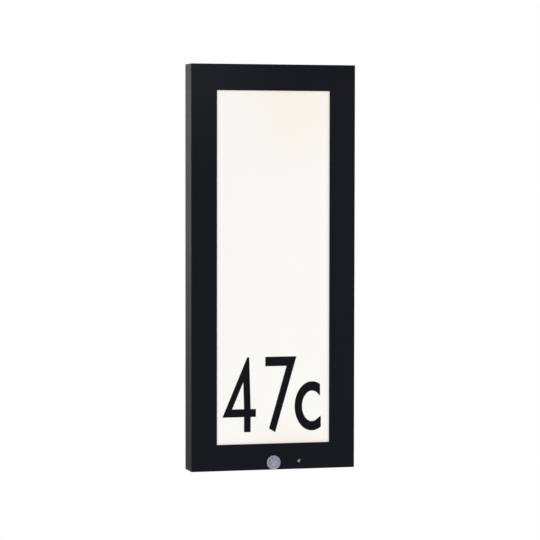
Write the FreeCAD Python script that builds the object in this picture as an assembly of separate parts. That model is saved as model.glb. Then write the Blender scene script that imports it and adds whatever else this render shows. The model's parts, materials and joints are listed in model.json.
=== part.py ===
import FreeCAD, Part
import math
import os

# Illuminated house number sign for a house wall, with a motion detector and a dusk sensor.
# A painted aluminium frame holds an edge-lit opal panel that carries the stick-on number.
# The sign hangs on a steel wall bracket, and two screws from below lock it there.
# Millimetres. X runs to the right seen from the front, Y from the front to the wall, Z up.
# The origin is the middle of the bracket's four wall slots, on the wall plane Y = 0.

Vector = FreeCAD.Vector

# ---- sizes that set the sign ----
sign_width = 225.0
sign_height = 540.0
sign_depth = 35.0
bezel_width = 35.0
face_thickness = 2.0
wall_thickness = 2.0
edge_round = 0.5
window_corner_round = 0.5
recess_depth = 9.0      # from the back cover to the house wall

fit_gap = 0.3           # between pieces that are laid in beside each other
slide_gap = 0.1         # round a piece that slips into a hole or a recess
screw_gap = 0.05        # radial, between a screw and the hole it bites in
hole_gap = 0.3          # radial, between a screw and the hole it passes through
turning_gap = 0.08      # radial, round a piece that turns
rest_gap = 0.2          # between the hooked-on sign and its bracket
past = 1.0              # how far a cut, or a root that is joined on, runs past a face

# ---- lit panel ----
window_seal_thickness = 0.6
window_seal_width = 6.0
window_seal_setback = 1.0
panel_overlap = 8.5
diffuser_thickness = 3.0
diffuser_corner_round = 1.0
guide_overlap = 4.0
guide_thickness = 4.0
guide_bevel = 0.4
reflector_thickness = 0.4
rib_thickness = 1.5
rib_height = 2.5

# ---- number film ----
film_thickness = 0.5
number_foot = 16.0      # from the window's lower edge up to the line the number stands on
number_left = 8.0       # from the window's left edge
number_right = 11.3     # from the window's right edge
number_width = 135.7    # as drawn; the number is cut to the size that fits between those margins
digit_height = 100.0
four_width = 45.8
four_stem = 9.0
four_stem_right = 38.6  # from the digit's left edge to the stem's right edge
four_stem_lean = 2.0
four_bar_foot = 20.1
four_bar = 10.6
four_apex = 2.6
four_arm = 8.6          # width of the sloping arm, measured level
seven_left = 58.8       # from the number's left edge
seven_width = 42.9
seven_bar = 12.6
seven_leg = 9.9         # width of the leg, measured level
seven_foot = 13.6       # from the digit's left edge to the leg's tip
seven_cut = 5.2         # rise of the leg's slanting end
seven_drop = 1.2        # how far the leg's tip hangs below the line
letter_left = 99.5      # from the number's left edge
letter_half_width = 23.9
letter_half_height = 33.0
letter_counter_half_width = 13.8
letter_counter_half_height = 20.5
letter_upper_reach = 11.2
letter_lower_reach = 12.4
letter_spur = 3.5

# ---- light boards ----
led_board_thickness = 1.0
led_board_width = 4.0
chip_length = 4.0
chip_width = 1.4
chip_height = 0.7
chip_count = 24
chip_margin = 25.0

# ---- tray behind the panel ----
tray_sheet = 1.2
tray_round = 1.0
tray_ear_radius = 4.0
tray_boss_radius = 3.5
tray_boss_gap = 0.4     # from the rib round the panel to a boss
side_ear_z = 170.0
end_ear_x = 75.0
notch_size = 6.0
notch_drop = 11.0       # from the tray's upper flange down to the middle of the lead notch

# ---- back cover ----
cover_sheet = 1.5
cover_gap = 0.4
cover_corner_round = 3.0
cover_seal_thickness = 1.5
ledge_thickness = 3.0
ledge_width = 8.0
cover_boss_radius = 4.0
cover_boss_length = 8.0
cover_rows = 5
bead_width = 8.0
bead_depth = 0.8
bead_x = 78.0
bead_end_gap = 24.0     # from the ledge to the bead's end

# ---- screws ----
small_screw_radius = 1.5
small_screw_length = 8.0
small_head_radius = 2.8
small_head_height = 1.9
cross_width = 0.7
cross_sink = 0.9

# ---- wiring chamber in the back cover ----
chamber_z = -66.0
chamber_width = 72.0
chamber_height = 34.0
chamber_corner_round = 2.0
lid_border = 8.0
lid_thickness = 1.5
lid_corner_round = 4.0
lid_seal_thickness = 1.0
lid_boss_radius = 2.9
lid_boss_length = 3.0
lid_screw_length = 6.0
grommet_x = -24.0
grommet_bore_radius = 4.25
grommet_neck_radius = 8.0
grommet_flange_radius = 10.5
grommet_flange_thickness = 1.6
grommet_nose_length = 5.0
grommet_nose_radius = 5.8
grommet_bevel = 0.5

# ---- terminal block ----
terminal_x = 16.0
terminal_length = 18.0
terminal_pitch = 9.0
terminal_poles = 3
terminal_cover_gap = 1.8    # from the block's top to the back cover
terminal_step_width = 3.5
terminal_step_drop = 3.5
terminal_slit = 0.8
terminal_entry_radius = 1.6
terminal_entry_depth = 6.0
terminal_screw_x = 3.2      # from the block's middle line
terminal_screw_radius = 1.6
terminal_screw_length = 3.0
terminal_screw_sink = 1.0
terminal_slot_width = 0.6
fixing_screw_radius = 1.2
fixing_head_radius = 2.2
fixing_head_height = 1.4
fixing_well_radius = 2.4
fixing_well_depth = 4.0

# ---- driver ----
driver_length = 96.0
driver_side_gap = 1.35
driver_ledge_gap = 1.0
driver_wall = 1.2
driver_round = 1.5
driver_lid_thickness = 1.4
driver_lip_height = 1.0
driver_lip_thickness = 1.0
driver_ear_reach = 5.0
driver_ear_radius = 3.6
driver_ear_thickness = 1.6
driver_boss_height = 4.0
driver_rail_width = 0.8
driver_board_height = 3.0
driver_board_thickness = 1.6
lead_hole_rise = 0.68       # share of the driver's height
coil_width = 13.0
coil_length = 16.0
coil_height = 8.5
winding_inset = 2.0
winding_round = 1.0
capacitor_radius = 3.6
capacitor_length = 14.0
capacitor_end_gap = 8.0

# ---- leads ----
lead_radius = 1.1
sensor_lead_radius = 1.2
lead_gap = 0.15
bend_share = 0.45           # of the shorter run beside a turn, taken up by its arc
lead_entry = 3.0
clip_wall = 1.0
clip_length = 5.0
clip_foot = 3.0

# ---- earth ----
earth_x = 56.0
earth_z = -112.0
earth_ring_radius = 3.6
earth_ring_thickness = 0.8
earth_neck_length = 1.0
earth_barrel_wall = 0.8
earth_barrel_length = 6.0

# ---- motion detector and dusk sensor ----
sensor_foot = 9.75          # from the sign's underside up to the middle of the lens
lens_seal_thickness = 0.4
lens_flange_radius = 9.25
lens_flange_thickness = 2.0
lens_flange_round = 0.6
dome_radius = 8.2
dome_height = 6.4
lens_wall = 0.8
lens_neck_radius = 7.6
lens_hook_reach = 0.7
lens_hook_length = 1.2
lens_hook_count = 3
lens_hook_sweep = 40.0
petal_count = 4
petal_sweep = 35.0          # degrees, from the lens's axis out to the ring between petals and facets
facet_count = 8
facet_sweep = 68.0
facet_turn = 22.5           # degrees, from a petal's edge to the nearest facet's edge
facet_groove_depth = 0.3
facet_groove_width = 0.9
board_left = 36.0
board_right = 52.0
board_top = 11.0
board_screw_inset = 5.5
carrier_plate = 1.2
carrier_height = 3.0        # from the bezel's inner face to the carrier plate
carrier_cup_wall = 1.2
sensor_board_thickness = 1.6
sensor_boss_radius = 3.0
sensor_screw_radius = 1.25
sensor_screw_length = 5.4
sensor_head_radius = 2.3
sensor_head_height = 1.6
can_radius = 4.1
can_base_radius = 4.6
can_base_thickness = 0.5
can_height = 4.2
can_bevel = 0.4
filter_size = 3.2
filter_thickness = 0.3
dusk_x = 36.5
dusk_rise = 0.8             # above the middle of the lens
dusk_hole_radius = 2.9
dusk_hole_bevel = 0.3
dusk_dome_radius = 2.5
dusk_dome_height = 1.7
dusk_dome_sink = 0.1
dusk_flange_radius = 4.2
dusk_flange_thickness = 1.2
dusk_chip_radius = 1.5
dusk_chip_gap = 0.4
plug_x = 27.0
plug_rise = 1.0
plug_width = 8.0
plug_height = 6.0
plug_depth = 5.0

# ---- setting dials ----
dial_x = 14.0
dial_rise = 4.55
trimmer_size = 8.0
trimmer_depth = 4.0
trimmer_round = 1.0
dial_socket_depth = 2.4
dial_shaft_radius = 2.0
dial_head_radius = 4.2
dial_head_height = 2.2
dial_head_bevel = 0.5
dial_slot_width = 0.9
dial_slot_depth = 1.0
dial_pointer_depth = 0.4
dial_seal_thickness = 0.8
dial_seal_radius = 3.6

# ---- wall bracket and hooks ----
bracket_width = 130.0
bracket_sheet = 1.5
bracket_round = 4.0
bend_round = 0.5            # inside a fold in sheet metal
slot_spacing_x = 90.0
slot_spacing_z = 340.0
slot_length = 12.0
slot_width = 5.2
cable_opening_width = 90.0
cable_opening_height = 52.0
cable_opening_round = 5.0
lift_travel = 8.0
hook_drop = 67.0            # from the sign's top down to the hook's lip
hook_engagement = 7.0
hook_width = 100.0
hook_sheet = 1.5
hook_play = 0.6
hanger_side_gap = 4.0
hanger_top_gap = 1.0
hanger_foot_height = 14.0
rivet_radius = 1.6
rivet_head_radius = 3.2
rivet_head_height = 1.1
rivet_tail_length = 2.0
rivet_tail_swell = 0.6
rivet_spacing = 32.0
lock_x = 50.0
lock_tab_width = 16.0
lock_tab_reach = 3.4
lock_screw_radius = 2.0
lock_head_radius = 3.9
lock_screw_tip = 4.0
lock_socket_radius = 1.3
lock_socket_depth = 1.2

# ---- planes along Y, worked out from the front to the wall ----
y_front = -sign_depth
y_skin = y_front + face_thickness
y_diffuser = y_skin + window_seal_thickness
y_guide = y_diffuser + diffuser_thickness
y_reflector = y_guide + guide_thickness
y_tray = y_reflector + reflector_thickness
y_tray_back = y_tray + tray_sheet
y_cover_back = -recess_depth
y_cover = y_cover_back - cover_sheet
y_ledge_back = y_cover - cover_seal_thickness
y_ledge = y_ledge_back - ledge_thickness
y_lid = y_cover_back + lid_seal_thickness
y_lid_back = y_lid + lid_thickness
y_lens_seat = y_front - lens_seal_thickness
y_lens_rim = y_lens_seat - lens_flange_thickness
y_lens_tip = y_lens_rim - dome_height
y_lens_end = y_skin + lens_hook_length
y_carrier = y_skin + carrier_height
y_board = y_carrier + carrier_plate
y_board_back = y_board + sensor_board_thickness
y_dusk_flange = y_skin + dusk_flange_thickness
y_trimmer_back = y_board_back + trimmer_depth
y_driver_back = y_ledge - driver_ledge_gap
y_driver_lid = y_driver_back - driver_lid_thickness
y_driver_ear = y_skin + driver_boss_height
y_driver_ear_back = y_driver_ear + driver_ear_thickness
y_driver_board = y_skin + driver_board_height
y_driver_parts = y_driver_board + driver_board_thickness
y_lead_holes = y_skin + lead_hole_rise * (y_driver_back - y_skin)
y_terminal_back = y_cover - terminal_cover_gap
y_terminal_step = y_terminal_back - terminal_step_drop
y_terminal_leads = (y_tray_back + y_terminal_step) / 2
y_earth_barrel = y_tray_back + lead_radius + earth_barrel_wall
y_lock = -recess_depth / 2

# ---- widths and heights that follow ----
inner_width = sign_width - 2 * wall_thickness
inner_height = sign_height - 2 * wall_thickness
inner_bottom = -inner_height / 2
window_width = sign_width - 2 * bezel_width
window_height = sign_height - 2 * bezel_width
diffuser_width = window_width + 2 * panel_overlap
diffuser_height = window_height + 2 * panel_overlap
rib_inner_width = diffuser_width + 2 * fit_gap
rib_inner_height = diffuser_height + 2 * fit_gap
rib_width = rib_inner_width + 2 * rib_thickness
rib_total_height = rib_inner_height + 2 * rib_thickness
guide_width = window_width + 2 * guide_overlap
guide_height = window_height + 2 * guide_overlap
tray_inner_width = guide_width + 2 * (fit_gap + chip_height + led_board_thickness)
tray_inner_height = guide_height + 2 * fit_gap
tray_width = tray_inner_width + 2 * tray_sheet
tray_height = tray_inner_height + 2 * tray_sheet
ear_x = rib_width / 2 + tray_boss_gap + tray_boss_radius
ear_z = rib_total_height / 2 + tray_boss_gap + tray_boss_radius
ledge_inner_width = inner_width - 2 * ledge_width
ledge_inner_height = inner_height - 2 * ledge_width

screw_line_x = inner_width / 2 - cover_boss_radius
screw_line_z = inner_height / 2 - cover_boss_radius
row_pitch = 2 * screw_line_z / (cover_rows - 1)
driver_width = (inner_width - rib_width) / 2 - 2 * driver_side_gap
driver_x = (inner_width + rib_width) / 4
driver_z = -screw_line_z + row_pitch * (cover_rows // 2) + row_pitch / 2
driver_foot = driver_z - driver_length / 2
driver_head = driver_z + driver_length / 2
terminal_top_z = chamber_z + terminal_pitch * (terminal_poles - 1) / 2
earth_barrel_foot = earth_z + earth_ring_radius + earth_neck_length
earth_barrel_end = earth_barrel_foot + earth_barrel_length

sensor_z = -sign_height / 2 + sensor_foot
dusk_z = sensor_z + dusk_rise
board_bottom = inner_bottom + fit_gap
dial_z = sensor_z + dial_rise

hook_top = sign_height / 2 - hook_drop
hook_shelf_z = hook_top - hook_engagement - rest_gap - bracket_sheet
bracket_top = hook_shelf_z + bracket_sheet
hook_lip_y = -bracket_sheet - 2 * hook_play - hook_sheet
hanger_lip_y = hook_lip_y + hook_play
hanger_z = hook_top + hanger_top_gap
lock_tab_z = inner_bottom + lift_travel + fit_gap + rest_gap


# ---- shapes ----
def block(x0, x1, y0, y1, z0, z1):
    """A box between two corners."""
    return Part.makeBox(x1 - x0, y1 - y0, z1 - z0, Vector(x0, y0, z0))


def rod(x, z, radius, y0, y1):
    """A round rod along Y."""
    return Part.makeCylinder(radius, y1 - y0, Vector(x, y0, z), Vector(0, 1, 0))


def post(x, y, z, radius, length):
    """A round rod that starts at a point and runs up."""
    return Part.makeCylinder(radius, length, Vector(x, y, z), Vector(0, 0, 1))


def placed(solid, x, y, z):
    """A moved copy."""
    moved = solid.copy()
    moved.translate(Vector(x, y, z))
    return moved


def joined(solids):
    """One solid from several that touch."""
    return solids[0].multiFuse(solids[1:]).removeSplitter()


def edges_along(solid, axis):
    """The straight edges that run along 'x', 'y' or 'z'."""
    others = [other for other in "xyz" if other != axis]
    return [edge for edge in solid.Edges if len(edge.Vertexes) == 2 and all(
        abs(getattr(edge.Vertexes[0].Point, other) - getattr(edge.Vertexes[1].Point, other)) < 1e-6
        for other in others)]


def plate(width, height, y0, y1, corner=0.0, x=0.0, z=0.0):
    """A flat plate that faces Y, centred on x and z, with rounded corners."""
    solid = block(x - width / 2, x + width / 2, y0, y1, z - height / 2, z + height / 2)
    return solid.makeFillet(corner, edges_along(solid, "y")) if corner > 0 else solid


def ring_plate(outer, inner, y0, y1, outer_round=0.0, inner_round=0.0):
    """A flat rectangular ring; outer and inner are (width, height)."""
    return plate(*outer, y0, y1, outer_round).cut(plate(*inner, y0 - past, y1 + past, inner_round))


def slot(x, z, width, height, y0, y1):
    """A flat bar with round ends, lying or standing."""
    radius = min(width, height) / 2
    reach_x, reach_z = width / 2 - radius, height / 2 - radius
    middle = plate(width - 2 * radius if reach_x else width, height - 2 * radius if reach_z else height,
                   y0, y1, 0, x, z)
    ends = [rod(x + side * reach_x, z + side * reach_z, radius, y0, y1) for side in (-1, 1)]
    return joined([middle] + ends)


def turned(x, z, profile, sweep=360.0, start=0.0):
    """A solid turned round the Y axis through x and z.

    The profile holds (radius, y) corners; (radius, y, "arc") is a point that an arc passes through.
    The sweep starts at +X and goes up, in degrees.
    """
    corners = [Vector(point[0], point[1], 0) for point in profile]
    count = len(profile)
    edges = []
    i = 0
    while i < count:
        nearest = (i + 1) % count
        if len(profile[nearest]) == 3:
            edges.append(Part.Arc(corners[i], corners[nearest], corners[(i + 2) % count]).toShape())
            i += 2
        else:
            edges.append(Part.makeLine(corners[i], corners[nearest]))
            i += 1
    solid = Part.Face(Part.Wire(edges)).revolve(Vector(0, 0, 0), Vector(0, 1, 0), -sweep)
    solid.rotate(Vector(0, 0, 0), Vector(0, 1, 0), -start)
    return placed(solid, x, 0, z)


def cap_middle(radius, rim, tip):
    """A point half way along the arc of a dome's outline, from its tip on the axis to its rim."""
    height = rim - tip
    ball = (radius * radius + height * height) / (2 * height)
    angle = math.atan2(radius, ball - height) / 2
    return ball * math.sin(angle), tip + ball * (1 - math.cos(angle)), "arc"


def polygon(points):
    """Closed straight edges through (x, z) points at Y = 0."""
    corners = [Vector(x, 0, z) for x, z in points]
    return [Part.makeLine(a, b) for a, b in zip(corners, corners[1:] + corners[:1])]


def bent_wire(points, bend_at):
    """An open wire through points, with an arc at each turn, and the radii that bend_at gave them."""
    edges = []
    bends = []
    start = points[0]
    for before, corner, after in zip(points, points[1:], points[2:]):
        into = (corner - before).normalize()
        out = (after - corner).normalize()
        half_turn = into.getAngle(out) / 2
        bend = bend_at(min(before.distanceToPoint(corner), corner.distanceToPoint(after)), half_turn)
        first = corner - into * bend * math.tan(half_turn)
        last = corner + out * bend * math.tan(half_turn)
        middle = corner + (out - into).normalize() * bend * (1 / math.cos(half_turn) - 1)
        edges += [Part.makeLine(start, first), Part.Arc(first, middle, last).toShape()]
        bends.append(bend)
        start = last
    return Part.Wire(edges + [Part.makeLine(start, points[-1])]), bends


def folded(width, places, sheet):
    """A folded strip of sheet metal, from (y, z) points along the middle of its section."""
    middle_radius = bend_round + sheet / 2
    path, _ = bent_wire([Vector(-width / 2, y, z) for y, z in places], lambda run, half_turn: middle_radius)
    side = path.makeOffset2D(sheet / 2, 0, False, True)
    section = side.makeOffset2D(-sheet, 0, True, True)
    return section.extrude(Vector(width, 0, 0))


def pan_screw(x, z, seat, radius, length, head_radius, head_height):
    """A cross-recess pan-head screw driven towards -Y, with its head behind the seat plane."""
    top = seat + head_height
    dome = 0.35 * head_height
    body = turned(x, z, [(0, seat - length), (radius, seat - length), (radius, seat), (head_radius, seat),
                         (head_radius, top - dome), (head_radius - 2 * dome, top), (0, top)])
    reach = 0.6 * head_radius
    arms = [block(x - wide, x + wide, top - cross_sink, top + past, z - tall, z + tall)
            for wide, tall in ((reach, cross_width / 2), (cross_width / 2, reach))]
    return body.cut(joined(arms))


def small_screw(x, z, seat, length=small_screw_length):
    """The M3 screw used all over the sign."""
    return pan_screw(x, z, seat, small_screw_radius, length, small_head_radius, small_head_height)


def screw_bore(x, z, seat, length=small_screw_length, radius=small_screw_radius):
    """The blind hole that a screw of that length bites in."""
    return rod(x, z, radius + screw_gap, seat - length - fit_gap, seat + past)


def screw_pass(x, z, y0, y1, radius=small_screw_radius):
    """The through hole that a screw passes."""
    return rod(x, z, radius + hole_gap, y0 - past, y1 + past)


def lead(points, radius):
    """A round lead through points, each turn as wide as its two runs allow."""
    path, bends = bent_wire(points, lambda run, half_turn: bend_share * run / math.tan(half_turn))
    section = Part.Wire(Part.makeCircle(radius, points[0], points[1] - points[0]))
    tube = path.makePipeShell([section], True, False)
    share = tube.Volume / (math.pi * radius ** 2 * path.Length)
    print(f"lead of {path.Length:.1f}: bends {[round(bend, 1) for bend in bends]}, volume share {share:.4f}")
    return tube


def moved(point, dx, dy, dz):
    """A point beside another."""
    return point + Vector(dx, dy, dz)


# ---- places shared by pieces that fit together ----
def cover_screw_places():
    """Two columns of screws down the sides, and one in the middle of the top and of the bottom."""
    rows = [-screw_line_z + row_pitch * i for i in range(cover_rows)]
    sides = [(side * screw_line_x, z) for z in rows for side in (-1, 1)]
    return sides + [(0, -screw_line_z), (0, screw_line_z)]


def tray_ear_places():
    """(x, z, direction) of the tray's ears; the direction points away from the tray."""
    sides = [(side * ear_x, z, (side, 0)) for side in (-1, 1) for z in (-side_ear_z, side_ear_z)]
    ends = [(x, side * ear_z, (0, side)) for side in (-1, 1) for x in (-end_ear_x, end_ear_x)]
    return sides + ends


def lid_screw_places():
    """The four corners of the wiring chamber's lid."""
    reach_x = (chamber_width + lid_border) / 2
    reach_z = (chamber_height + lid_border) / 2
    return [(x, chamber_z + z) for x in (-reach_x, reach_x) for z in (-reach_z, reach_z)]


def driver_ear_places():
    """The two screw ears at the driver's ends."""
    return [(driver_x, driver_foot - driver_ear_reach), (driver_x, driver_head + driver_ear_reach)]


def sensor_screw_places():
    """The two screws that hold the detector's board and carrier."""
    return [(-board_left + board_screw_inset, sensor_z), (board_right - board_screw_inset, sensor_z)]


def dial_places():
    """The on-time dial and the dusk dial."""
    return [(-dial_x, dial_z), (dial_x, dial_z)]


def pole_places():
    """The middle height of each pole of the terminal block."""
    return [terminal_top_z - terminal_pitch * i for i in range(terminal_poles)]


def between_poles():
    """The middle heights of the gaps between poles."""
    return [z - terminal_pitch / 2 for z in pole_places()[:-1]]


def slot_places():
    """The bracket's four wall slots."""
    return [(x * slot_spacing_x / 2, z * slot_spacing_z / 2) for x in (-1, 1) for z in (-1, 1)]


def notch_place(side):
    """Where a lead ends on the rear edge of a light board."""
    x = tray_inner_width / 2 - lead_radius - slide_gap
    return Vector(side * x, y_tray, tray_inner_height / 2 - notch_drop)


def rivet_places():
    """The rivets that hold the hanger to the back cover."""
    z = hanger_z + (hanger_foot_height + hook_sheet) / 2
    return [(rivet_spacing * i, z) for i in (-1, 0, 1)]


# ---- frame and back ----
def make_front_frame():
    """The cast frame: a bezel, four walls back to the house wall, a ledge for the back cover and bosses."""
    shell = plate(sign_width, sign_height, y_front, 0)
    rear_rim = [edge for edge in shell.Edges if abs(edge.CenterOfMass.y) < 1e-6]
    front_edges = [edge for edge in shell.Edges if not any(edge.isSame(rim) for rim in rear_rim)]
    shell = shell.makeFillet(edge_round, front_edges)
    shell = shell.cut(plate(inner_width, inner_height, y_skin, past))
    shell = shell.cut(plate(window_width, window_height, y_front - past, y_skin + past, window_corner_round))
    root = y_skin - face_thickness / 2
    outer = (sign_width - wall_thickness, sign_height - wall_thickness)
    added = [
        ring_plate((rib_width, rib_total_height), (rib_inner_width, rib_inner_height), root,
                   y_skin + rib_height),
        ring_plate(outer, (ledge_inner_width, ledge_inner_height), y_ledge, y_ledge_back),
    ]
    added += [rod(x, z, cover_boss_radius, y_ledge - cover_boss_length, y_ledge_back)
              for x, z in cover_screw_places()]
    added += [rod(x, z, tray_boss_radius, root, y_tray) for x, z, _ in tray_ear_places()]
    added += [rod(x, z, driver_ear_radius, root, y_driver_ear) for x, z in driver_ear_places()]
    added += [rod(x, z, sensor_boss_radius, root, y_carrier) for x, z in sensor_screw_places()]
    return joined([shell] + added).cut(frame_holes())


def frame_holes():
    """Every hole in the frame: screw bores, lens hole, dusk sensor hole and countersunk locking holes."""
    bores = [screw_bore(x, z, y_cover_back) for x, z in cover_screw_places()]
    bores += [screw_bore(x, z, y_tray_back) for x, z, _ in tray_ear_places()]
    bores += [screw_bore(x, z, y_driver_ear_back, y_driver_ear_back - y_skin) for x, z in driver_ear_places()]
    bores += [screw_bore(x, z, y_board_back, sensor_screw_length, sensor_screw_radius)
              for x, z in sensor_screw_places()]
    bores.append(rod(0, sensor_z, lens_neck_radius + slide_gap, y_front - past, y_skin + past))
    bores.append(rod(dusk_x, dusk_z, dusk_hole_radius, y_front - past, y_skin + past))
    bores.append(Part.makeCone(dusk_hole_radius + dusk_hole_bevel, dusk_hole_radius, dusk_hole_bevel,
                               Vector(dusk_x, y_front, dusk_z), Vector(0, 1, 0)))
    for x in (-lock_x, lock_x):
        cone = Part.makeCone(lock_head_radius + slide_gap, lock_screw_radius + slide_gap, wall_thickness,
                             Vector(x, y_lock, -sign_height / 2), Vector(0, 0, 1))
        bores += [cone, post(x, y_lock, -sign_height / 2, lock_screw_radius + slide_gap, 2 * wall_thickness)]
    return bores


def make_back_cover():
    """The sheet that closes the frame from behind, with stiffening beads and the wiring chamber's opening."""
    size = (inner_width - 2 * cover_gap, inner_height - 2 * cover_gap)
    bead_height = ledge_inner_height - 2 * bead_end_gap
    added = [rod(x, z, lid_boss_radius, y_cover - lid_boss_length, y_cover) for x, z in lid_screw_places()]
    added += [slot(x, 0, bead_width, bead_height, y_cover_back, y_cover_back + bead_depth)
              for x in (-bead_x, bead_x)]
    cover = joined([plate(*size, y_cover, y_cover_back, cover_corner_round)] + added)
    holes = [screw_pass(x, z, y_cover, y_cover_back) for x, z in cover_screw_places()]
    holes += [rod(x, z, small_screw_radius + screw_gap, y_cover - lid_boss_length - past, y_cover_back + past)
              for x, z in lid_screw_places()]
    holes += [rod(x, z, dial_shaft_radius + turning_gap, y_cover - past, y_cover_back + past)
              for x, z in dial_places()]
    holes += [rod(x, z, rivet_radius + screw_gap, y_cover - past, y_cover_back + past)
              for x, z in rivet_places()]
    holes.append(plate(chamber_width, chamber_height, y_cover - past, y_cover_back + past,
                       chamber_corner_round, 0, chamber_z))
    return cover.cut(holes)


def make_cover_seal():
    """The foam seal between the frame's ledge and the back cover."""
    outer = (inner_width - 2 * cover_gap, inner_height - 2 * cover_gap)
    inner = (ledge_inner_width, ledge_inner_height)
    seal = ring_plate(outer, inner, y_ledge_back, y_cover, cover_corner_round)
    return seal.cut([screw_pass(x, z, y_ledge_back, y_cover) for x, z in cover_screw_places()])


# ---- lit panel ----
def make_window_seal():
    """The foam strip between the bezel and the opal panel."""
    inner = (window_width + 2 * window_seal_setback, window_height + 2 * window_seal_setback)
    outer = (inner[0] + 2 * window_seal_width, inner[1] + 2 * window_seal_width)
    return ring_plate(outer, inner, y_skin, y_diffuser)


def make_diffuser():
    """The opal panel that shows in the window."""
    return plate(diffuser_width, diffuser_height, y_diffuser, y_guide, diffuser_corner_round)


def make_light_guide():
    """The clear plate that spreads the light from its long edges, with a small bevel round its back."""
    guide = plate(guide_width, guide_height, y_guide, y_reflector)
    back_edges = [edge for edge in guide.Edges if abs(edge.CenterOfMass.y - y_reflector) < 1e-6]
    return guide.makeChamfer(guide_bevel, back_edges)


def make_reflector():
    """The white film behind the light guide."""
    return plate(guide_width, guide_height, y_reflector, y_tray)


def make_panel_tray():
    """The folded tray that clamps the panel stack to the frame, with eight screw ears."""
    size = (tray_width, tray_height)
    tray = [plate(*size, y_tray, y_tray_back, tray_round),
            ring_plate(size, (tray_inner_width, tray_inner_height), y_guide, y_tray_back, tray_round)]
    for x, z, (out_x, out_z) in tray_ear_places():
        root_x = x - out_x * (ear_x - tray_width / 2 + past)
        root_z = z - out_z * (ear_z - tray_height / 2 + past)
        half_x, half_z = abs(out_z) * tray_ear_radius, abs(out_x) * tray_ear_radius
        tray.append(rod(x, z, tray_ear_radius, y_tray, y_tray_back))
        tray.append(block(min(x, root_x) - half_x, max(x, root_x) + half_x, y_tray, y_tray_back,
                          min(z, root_z) - half_z, max(z, root_z) + half_z))
    holes = [screw_pass(x, z, y_tray, y_tray_back) for x, z, _ in tray_ear_places()]
    holes += [rod(terminal_x, z, fixing_screw_radius + screw_gap, y_tray - past, y_tray_back + past)
              for z in between_poles()]
    holes.append(rod(earth_x, earth_z, small_screw_radius + screw_gap, y_tray - past, y_tray_back + past))
    for side in (-1, 1):
        edge = side * tray_inner_width / 2
        z = notch_place(side).z
        holes.append(block(min(edge, edge - side * notch_size), max(edge, edge - side * notch_size),
                           y_tray, y_tray_back + past, z - notch_size / 2, z + notch_size / 2))
    return joined(tray).cut(holes)


def make_led_board(side):
    """A narrow aluminium-core board that stands on edge against the tray's long flange."""
    outer = side * tray_inner_width / 2
    inner = outer - side * led_board_thickness
    half_height = tray_inner_height / 2 - fit_gap
    return block(min(inner, outer), max(inner, outer), y_tray - led_board_width, y_tray,
                 -half_height, half_height)


def make_led_chips(side):
    """A row of light-emitting chips that face the light guide's edge."""
    foot = side * (tray_inner_width / 2 - led_board_thickness)
    face = foot - side * chip_height
    middle = y_guide + guide_thickness / 2
    run = guide_height - 2 * chip_margin
    places = [-run / 2 + run * i / (chip_count - 1) for i in range(chip_count)]
    return [block(min(foot, face), max(foot, face), middle - chip_width / 2, middle + chip_width / 2,
                  z - chip_length / 2, z + chip_length / 2) for z in places]


# ---- number ----
def film(outline, counter=None):
    """A glyph cut from film, drawn from the number's lower left corner and laid on the panel's front."""
    glyph = Part.Face(Part.Wire(outline))
    if counter:
        glyph = glyph.cut(Part.Face(Part.Wire(counter)))
    glyph.scale((window_width - number_left - number_right) / number_width, Vector(0, 0, 0))
    glyph.translate(Vector(number_left - window_width / 2, y_diffuser, number_foot - window_height / 2))
    return glyph.extrude(Vector(0, -film_thickness, 0))


def make_four():
    """The digit four: a sloping arm, a level bar and a stem that leans a little."""
    stem_left = four_stem_right - four_stem
    bar_top = four_bar_foot + four_bar
    apex_right = four_stem_right - four_stem_lean
    outline = polygon([
        (0, four_bar_foot), (stem_left, four_bar_foot), (stem_left, 0), (four_stem_right, 0),
        (four_stem_right, four_bar_foot), (four_width, four_bar_foot), (four_width, bar_top),
        (four_stem_right, bar_top), (apex_right, digit_height), (apex_right - four_apex, digit_height),
    ])
    arm_slope = (apex_right - four_apex) / (digit_height - four_bar_foot)
    stem_slope = four_stem_lean / (digit_height - bar_top)
    counter_left = arm_slope * four_bar + four_arm
    rise = (stem_left - counter_left) / (arm_slope + stem_slope)
    counter = polygon([(counter_left, bar_top), (stem_left, bar_top),
                       (stem_left - stem_slope * rise, bar_top + rise)])
    return film(outline, counter)


def make_seven():
    """The digit seven: a level bar and a sloping leg with a slanting end."""
    right = seven_left + seven_width
    tip_x, tip_z = seven_left + seven_foot, -seven_drop
    slope = (right - tip_x) / (digit_height - tip_z)
    bar_foot = digit_height - seven_bar
    return film(polygon([
        (seven_left, digit_height), (right, digit_height), (tip_x, tip_z),
        (tip_x + slope * seven_cut - seven_leg, tip_z + seven_cut),
        (right - slope * seven_bar - seven_leg, bar_foot), (seven_left, bar_foot),
    ]))


def oval_height(half_width, half_height, x):
    """The half height of an upright oval at a distance x from its middle."""
    return half_height * math.sqrt(1 - (x / half_width) ** 2)


def oval_left(centre, half_width, half_height, upper, lower):
    """The left part of an upright oval, between a point on its upper half and one on its lower half."""
    curve = Part.Ellipse(centre + Vector(0, 0, half_height), centre - Vector(half_width, 0, 0), centre)
    first, last = sorted([curve.parameter(upper), curve.parameter(lower)])
    edge = curve.toShape(first, last)
    if edge.valueAt((first + last) / 2).x > centre.x:
        edge = curve.toShape(last - 2 * math.pi, first)
    return edge


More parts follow.
